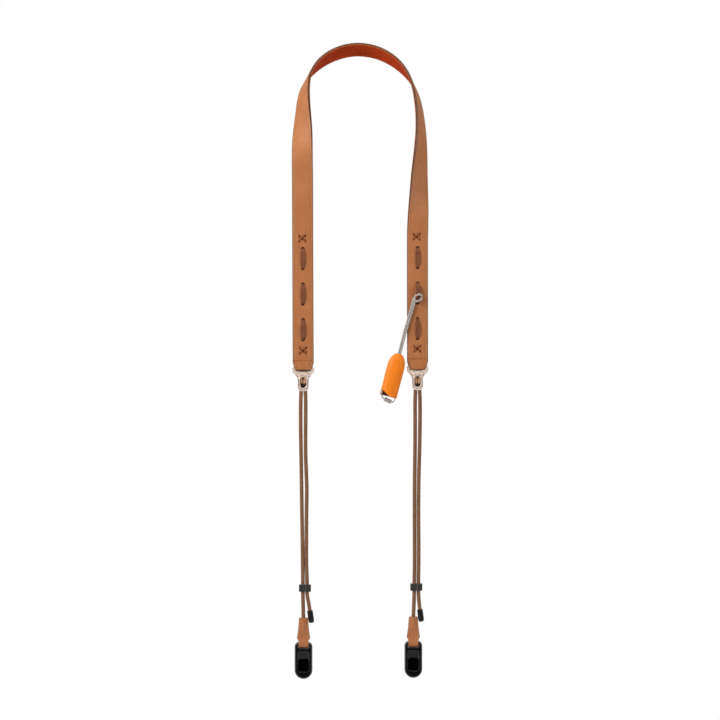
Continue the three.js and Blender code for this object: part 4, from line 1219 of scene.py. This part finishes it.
# Painted shade: the connector's deep pocket.
pocket_shade_black = plain_finish("pocket_shade_black", tone(0, 0, 0), tone(2, 2, 2), 0.8, Specular_IOR_Level=0.04)
slider_places = {"left": (-57.7, -570.1), "right": (59.0, -569.0)}
slider_pitch = 4.4
slider_height = 7.4
slider_side_wall = 1.95
slider_face_wall = 1.35


def slider(name, x, z):
    """A block seen from above, with a groove down its front and back, bored for both strands."""
    half_x = (slider_pitch + cord_room) / 2 + slider_side_wall
    half_y = cord_room / 2 + slider_face_wall
    groove = 1.0
    corner = 2.4
    outline = [(-groove, -half_y), (0, -half_y + groove), (groove, -half_y)]
    outline += arc_points(half_x - corner, -half_y + corner, corner, -90, 0)
    outline += arc_points(half_x - corner, half_y - corner, corner, 0, 90)
    outline += [(groove, half_y), (0, half_y - groove), (-groove, half_y)]
    outline += arc_points(-half_x + corner, half_y - corner, corner, 90, 180)
    outline += arc_points(-half_x + corner, -half_y + corner, corner, 180, 270)

    def upright(label, flat, low, high):
        count = len(flat)
        points = [(x + a, hardware_y + b, z + low) for a, b in flat]
        points += [(x + a, hardware_y + b, z + high) for a, b in flat]
        faces = end_faces(2, count) + wall_faces(2, count)
        return mesh_piece(label, points, faces, slider_plastic, smooth=False)

    half = slider_height / 2
    oval = arc_points(slider_pitch / 2, 0, cord_room / 2, -90, 90, 14)
    oval += arc_points(-slider_pitch / 2, 0, cord_room / 2, 90, 270, 14)
    bores = [upright("bore", oval, -half - 2, half + 2)]
    return moulded(f"cord_slider_moulded_{name}", [upright("block", outline, -half, half)], bores,
                   slider_plastic, grain_mm=0.2, rounding=4)


sliders = {name: slider(name, *place) for name, place in slider_places.items()}

cord_end_profile = [
    (0.0, 13.1), (1.0, 13.1), (1.9, 12.85), (2.55, 12.3), (2.9, 11.4), (3.0, 10.3), (3.0, 6.0),
    (2.98, 1.4), (2.98, 0.9), (2.94, 0.35), (2.8, 0.08), (2.6, 0.0), (2.35, 0.06), (2.15, 0.3),
    (2.15, 6.5), (0.0, 6.5),
]


def cord_end(name, line, sides=40):
    """A barrel turned about the cord's last stretch, open at the top where the cord goes in."""
    end = line[-1]
    heading = unit(line[-1] - line[-6])
    start = end + heading * (fit_gap - 6.5)
    side = unit(np.cross(heading, [0, 1, 0]))
    other = np.cross(heading, side)
    points = []
    for radius, depth in cord_end_profile:
        points += [start + heading * depth + radius * (c * side + s * other)
                   for c, s in round_turn(sides)]
    faces = wall_faces(len(cord_end_profile), sides)
    piece = mesh_piece(f"cord_end_moulded_{name}", points, faces, black_plastic)
    weld = piece.modifiers.new("weld", "WELD")
    weld.merge_threshold = 0.001 * MM
    baked(piece)
    return faced_outwards(piece)


cord_ends = {name: cord_end(name, adjuster_lines[name]) for name in legs}
print("slider", len(sliders["left"].data.polygons), "faces")
print("cord end", len(cord_ends["left"].data.polygons), "faces")

# %% [markdown]
# ## Leather tabs
#
# A tab is one strip of leather folded round the connector's bar, with the cord's end sewn in
# between its two plies. It is narrow at the top where the cord comes out, widest low down, and
# necked just above the bar. The rows give its width and how far the cord holds the plies apart.

# %% Tabs
tab_rows = [
    (0.00, 0.68, 1.00), (0.16, 0.74, 1.00), (0.36, 0.80, 1.00), (0.50, 0.87, 0.45),
    (0.63, 0.95, 0.12), (0.72, 1.00, 0.14), (0.78, 0.92, 0.35), (0.82, 0.81, 0.52),
    (0.91, 0.81, 0.84),
]
tab_height = 28.8
tab_width = 13.6
tab_thickness = 1.4
connector_places = {"left": (-59.2, -630.0), "right": (55.9, -628.9)}
tab_bar_room = 1.5 + fit_gap


def tab(name, x, z):
    """One strip: down the back, round the bar and up the front, open round the cord at the top."""
    rows = smooth_line(tab_rows, 5)
    across = np.array([-1.0, 0, 0])

    def ply(face):
        stations = []
        for drop, width, opened in rows:
            reach = max(opened, 0.12) * cord_room / 2
            over_cord = min(max((0.76 - drop) / 0.12, 0), 1)
            rest = reach - over_cord * max(reach - 0.35, 0)
            at = np.array([x, hardware_y + face * rest, z + tab_height * (1 - drop)])
            stations.append({"at": at, "out": np.array([0, float(face), 0]), "across": across,
                             "width": width, "dome": reach - rest})
        return stations

    fold = []
    for angle in np.linspace(0, math.pi, 15):
        out = np.array([0, math.cos(angle), -math.sin(angle)])
        fold.append({"at": np.array([x, hardware_y, z]) + out * tab_bar_room, "out": out,
                     "across": across, "width": 0.79})
    stations = ply(1) + fold + ply(-1)[::-1]
    section = rounded_section(tab_width / 2, 0, tab_thickness, 0.4, flat=13)
    return swept(f"tab_leather_{name}", stations, section, tab_leather)


tabs = {name: tab(name, *place) for name, place in connector_places.items()}
print("tab", len(tabs["left"].data.polygons), "faces")

# %% [markdown]
# ## Quick connectors
#
# The connector is a black moulded body with a round foot. Its top is forked round the leather
# tab with a bar across the fork. The front has a shallow matt panel and below it the pocket that
# the camera's loop clicks into, painted deep black as painted shade. Its shoulders are rounded in
# five steps and painted lighter along the rim as a painted highlight. The bar and fork carry the swing.

# %% Connectors
connector_width = 18.6
connector_depth = 9
connector_top = 3.6
connector_bottom = 35
panel_top = 6.3
panel_height = 7.4
pocket_width = 11.6
pocket_height = 13.8
pocket_depth = 5.2
panel_depth = 0.8
notch_width = 11.4
top_corner = 5.2
bar_radius = 1.5
# How far each step of the shoulder draws in, and how far it lies from the front and the back.
shoulder_steps = [(0, 2.2), (0.3, 1.4), (0.9, 0.7), (1.7, 0.25), (2.6, 0)]


def connector(name, x, z):
    """A stepped body, its notch, panel and pocket cut, and the bar put in last."""
    half_x = connector_width / 2
    half_y = connector_depth / 2
    y = hardware_y

    def at(outline, back, front, label):
        return prism(label, moved(outline, x, z), y + back, y + front, connector_plastic)

    def body(inset):
        outline = arc_points(0, -connector_bottom + half_x, half_x - inset, 180, 360, 40)
        top = (connector_top - top_corner, top_corner - inset)
        outline += arc_points(half_x - top_corner, *top, 0, 90, 12)
        return outline + arc_points(-half_x + top_corner, *top, 90, 180, 12)

    steps = [at(body(inset), half_y - back, back - half_y, "body") for inset, back in shoulder_steps]
    shelf = -(tab_bar_room + tab_thickness + 0.2)
    floor = -panel_top - panel_height
    cuts = [
        at(slab_outline(notch_width, shelf, connector_top + 4, 1.0), half_y + 2, -half_y - 2, "notch"),
        at(slab_outline(pocket_width, floor - 2, -panel_top, 1.2),
           -half_y + panel_depth, -half_y - 2, "panel"),
        at(slab_outline(pocket_width, floor - pocket_height, floor, 2.6),
           -half_y + pocket_depth, -half_y - 2, "pocket"),
    ]
    bar = rod("bar", (x, y, z), "X", bar_radius, notch_width + 2.2, connector_plastic)
    piece = moulded(f"connector_moulded_{name}", steps, cuts, connector_plastic,
                    grain_mm=0.28, rounding=10, late=[bar])
    # The pocket's faces wear painted shade.
    plain, panel, pocket = 0, 1, 2
    kinds = []
    for face in piece.data.polygons:
        across, inwards, up = np.array(face.center) / MM - (x, y - half_y, z)
        kind = plain
        if (1.2 < inwards < pocket_depth + 0.2 and abs(across) < pocket_width / 2 + 0.2
                and floor - pocket_height - 0.2 < up < floor + 0.2):
            kind = pocket
        elif abs(inwards - panel_depth) < 0.25 and face.normal.y < -0.9 and floor < up < -panel_top:
            kind = panel
        kinds.append(kind)
    paint_faces(piece, kinds, matt_black, pocket_shade_black)
    return piece


connectors = {name: connector(name, *place) for name, place in connector_places.items()}
print("connector", len(connectors["left"].data.polygons), "faces")

# %% [markdown]
# ## The tag
#
# The tag is a soft orange sleeve, closed in to a small hole at the top and open at the bottom,
# where one corner is cut back. A steel wire loop hangs inside it from the grey cord and is closed
# by a crimp that peeps out below. The tag is drawn hanging straight down, and then leaned.

# %% Tag sleeve, wire loop and crimp
tag_lean = math.radians(14.5)
tag_hang = 61
sleeve_length = 46
sleeve_width = 18.4
sleeve_depth = 10
sleeve_wall = 0.8
hitch_z = lace_centres(legs["right"])[1] - 0.5 * lace_hole_reach
tag_top = np.array([
    leg_x(legs["right"], hitch_z) - 4.0 - tag_hang * math.sin(tag_lean),
    leather_face_y - 0.65 - tag_cord_diameter / 2,
    hitch_z - tag_hang * math.cos(tag_lean)])
lean = np.array([[math.cos(tag_lean), 0, math.sin(tag_lean)], [0, 1, 0],
                 [-math.sin(tag_lean), 0, math.cos(tag_lean)]])
orange_plastic = plain_finish(
    "orange_plastic", tone(238, 122, 12), tone(243, 132, 18), 0.45, 1500, 0.04,
    Subsurface_Weight=0.1, Subsurface_Radius=(0.003, 0.0015, 0.0004), Specular_IOR_Level=0.3)
# Painted shade: the sleeve's inner wall is the orange darkened.
sleeve_inside_shade = plain_finish("sleeve_inside_shade", tone(72, 34, 16), tone(120, 58, 26), 0.7)
steel = plain_finish("steel", tone(158, 150, 146), tone(184, 176, 172), 0.36, 1600, 0.02, metal=0.55)
sleeve_rows = [
    (0.00, 0.35, 0.52), (0.04, 0.55, 0.66), (0.10, 0.77, 0.82), (0.20, 0.94, 0.95),
    (0.34, 1.00, 1.00), (0.67, 0.99, 1.00), (1.00, 0.98, 1.00),
]


def leaned(points):
    """Points drawn on a tag that hangs straight down, put where the leaning tag has them."""
    return np.asarray(points) @ lean.T + tag_top


def tag_sleeve(sides=56):
    """One closed skin, down the outer wall and back up the inner wall."""
    rows = smooth_line(sleeve_rows, 7)
    points = []
    for inset, table in [(0.0, rows), (sleeve_wall, rows[::-1])]:
        for along, width, depth in table:
            half_x = width * sleeve_width / 2 - inset
            half_y = depth * sleeve_depth / 2 - inset
            points += [(half_x * c, half_y * s, -along * sleeve_length) for c, s in round_turn(sides)]
    count = 2 * len(rows)
    faces = wall_faces(count, sides, closed=True)
    piece = mesh_piece("tag_sleeve_soft", leaned(points), faces, orange_plastic)
    # The inner wall wears the painted shade.
    paint_faces(piece, [len(rows) <= n // sides < count - 1 for n in range(len(faces))], sleeve_inside_shade)
    return faced_outwards(piece)


bite_width = 11
bite_height = 6.5


def bite_cutter():
    """The block that cuts the sleeve's front corner back, along a slope."""
    slope = math.atan2(bite_height, bite_width)
    corners = [(-16.5, 0), (16.5, 0), (16.5, -13), (-16.5, -13)]
    turned = [(x * math.cos(slope) + z * math.sin(slope), -x * math.sin(slope) + z * math.cos(slope))
              for x, z in corners]
    flat = [(x - sleeve_width / 2 + bite_width, z - sleeve_length) for x, z in turned]
    points = leaned([(x, 0.0, z) for x, z in flat] + [(x, -sleeve_depth, z) for x, z in flat])
    faces = [[3, 2, 1, 0], [4, 5, 6, 7], [0, 1, 5, 4], [1, 2, 6, 5], [2, 3, 7, 6], [3, 0, 4, 7]]
    return faced_outwards(mesh_piece("bite", points, faces, orange_plastic, smooth=False))


sleeve = cut_away(tag_sleeve(), [bite_cutter()])
wire_rows = [
    (-0.25, 0.957), (-0.43, 0.946), (-0.68, 0.915), (-0.90, 0.840), (-0.99, 0.735), (-1.00, 0.585),
    (-1.00, 0.315), (-0.87, 0.160), (-0.56, 0.045), (0.00, 0.000), (0.56, 0.045), (0.87, 0.160),
    (1.00, 0.315), (1.00, 0.585), (1.00, 0.800), (0.93, 0.930), (0.78, 0.998), (0.58, 1.000),
    (0.41, 0.990),
]
wire_top = 24.8
wire_width = 14.8
wire_height = 26
wire_line = smooth_line(
    leaned([(a * wire_width / 2, 0, -wire_top - b * wire_height) for a, b in wire_rows]), 6)
wire = braided_tube("tag_wire_loop_steel", wire_line, 1.3, steel, start=(0, -1, 0),
                    yarns=1, pitch=1000, relief=0, sides=16, step=0.4)


crimp_profile = [
    (0.95, -3.9), (1.9, -3.9), (2.1, -3.78), (2.2, -3.4), (2.2, -1.2), (2.02, -1.0), (2.02, 1.0),
    (2.2, 1.2), (2.2, 3.4), (2.1, 3.78), (1.9, 3.9), (0.95, 3.9),
]
crimp_turn = math.radians(10)
crimp_shift = 0.6
crimp_drop = wire_top + 0.973 * wire_height


def crimp_sleeve(sides=36):
    """A short tube turned about the wire at the loop's foot, a little askew."""
    points = []
    for radius, along in crimp_profile:
        for c, s in round_turn(sides):
            x, y = radius * c, radius * s
            points.append((along * math.cos(crimp_turn) + x * math.sin(crimp_turn) + crimp_shift, y,
                           -along * math.sin(crimp_turn) + x * math.cos(crimp_turn) - crimp_drop))
    faces = wall_faces(len(crimp_profile), sides, closed=True)
    return faced_outwards(mesh_piece("tag_crimp_steel", leaned(points), faces, steel))


crimp = crimp_sleeve()
for label, piece in (("sleeve", sleeve), ("wire", wire), ("crimp", crimp)):
    print(label, len(piece.data.polygons), "faces")

# %% [markdown]
# ## Who rides on what
#
# The connectors swing on their bars, and everything else keeps still with the band. Each piece
# stands for its model node, whose own mesh is hidden, and rides on its body.


def dress(piece, slot, *nodes, body="root"):
    """Says on which body a piece rides and which nodes it stands for. Its slot, the finish it wears, is
    not used.
    """
    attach(piece, body)
    if nodes:
        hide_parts(*nodes)


dress(band_outer, "strap_leather", "strap_outer")
dress(band_lining, "lining_leather", "strap_lining")
dress(stitches, "lace")
for node, lace in laces.items():
    dress(lace, "lace", node)
for name in legs:
    dress(end_rings[name], "cast_metal", f"end_ring_{name}")
    dress(adjuster_cords[name], "brown_cord", f"adjuster_cord_{name}")
    dress(sliders[name], "black_plastic", f"cord_slider_{name}")
    dress(cord_ends[name], "black_plastic", f"cord_end_{name}")
    dress(tabs[name], "tab_leather", f"tab_{name}")
    dress(connectors[name], "black_plastic", f"connector_{name}", body=f"connector_{name}")
    line = adjuster_lines[name] * MM
dress(tag_cord, "grey_cord", "tag_cord")
dress(sleeve, "orange_plastic", "tag_sleeve")
dress(wire, "steel", "tag_wire_loop")
dress(crimp, "steel", "tag_crimp")

# %% [markdown]
# ## Light and backdrop
#
# The picture is lit as a product on white. Broad soft lights stand left and right, the left one
# stronger, because the left leg is a little brighter. A third is far behind the camera and a
# fourth above. The camera sees the world as white, but its light on the strap is about half that,
# and weaker still from in front. A pale floor lies well below the hanging strap.

# %% Lights, world and floor
def soft_light(name, place, target, size, watts, colour=(1, 1, 1)):
    """A round area light that faces its target."""
    data = bpy.data.lights.new(name, "AREA")
    data.shape = "DISK"
    data.size = size
    data.energy = watts
    data.color = colour
    lamp = bpy.data.objects.new(name, data)
    lamp.location = place
    lamp.rotation_euler = (Vector(target) - Vector(place)).to_track_quat("-Z", "Y").to_euler()
    bpy.context.scene.collection.objects.link(lamp)


middle = (0, -0.05, -0.33)
soft_light("key", (-1.05, -0.8, 0.3), middle, 0.6, 16, (1.0, 0.985, 0.96))
soft_light("fill", (1.15, -0.85, 0.1), middle, 0.7, 6.5, (0.98, 0.985, 1.0))
soft_light("front", (0, -3.2, -0.33), middle, 0.8, 4)
soft_light("top", (0.0, -0.15, 1.0), middle, 0.7, 8)
world = bpy.data.worlds.new("pale_room")
world.use_nodes = True
room = world.node_tree.nodes
seen = room["Background"]
seen.inputs["Color"].default_value = (1.0, 1.0, 1.0, 1)
lighting = room.new("ShaderNodeBackground")
direction = room.new("ShaderNodeTexCoord")
parts = room.new("ShaderNodeSeparateXYZ")
strength = room.new("ShaderNodeMapRange")
# From 0.16 straight in front to 0.55 at the sides and behind.
for socket, value in ((1, -1.0), (2, -0.1), (3, 0.16), (4, 0.55)):
    strength.inputs[socket].default_value = value
path = room.new("ShaderNodeLightPath")
either = room.new("ShaderNodeMixShader")
for source, target in (
        (direction.outputs["Generated"], parts.inputs[0]),
        (parts.outputs["Y"], strength.inputs[0]),
        (strength.outputs[0], lighting.inputs["Strength"]),
        (path.outputs["Is Camera Ray"], either.inputs[0]),
        (lighting.outputs[0], either.inputs[1]),
        (seen.outputs[0], either.inputs[2]),
        (either.outputs[0], room["World Output"].inputs[0])):
    world.node_tree.links.new(source, target)
bpy.context.scene.world = world
bpy.context.scene.view_settings.view_transform = "Standard"

floor_finish = plain_finish("pale_floor", tone(236, 236, 236), tone(242, 242, 242), 0.7, 40, 0.2)
floor_half = 900
floor_back = 600
floor_z = -845
floor_corners = [(-floor_half, -floor_half, floor_z), (floor_half, -floor_half, floor_z),
                 (floor_half, floor_back, floor_z), (-floor_half, floor_back, floor_z)]
floor = mesh_piece("floor", floor_corners, [[0, 1, 2, 3]], floor_finish, smooth=False)
print("lit")
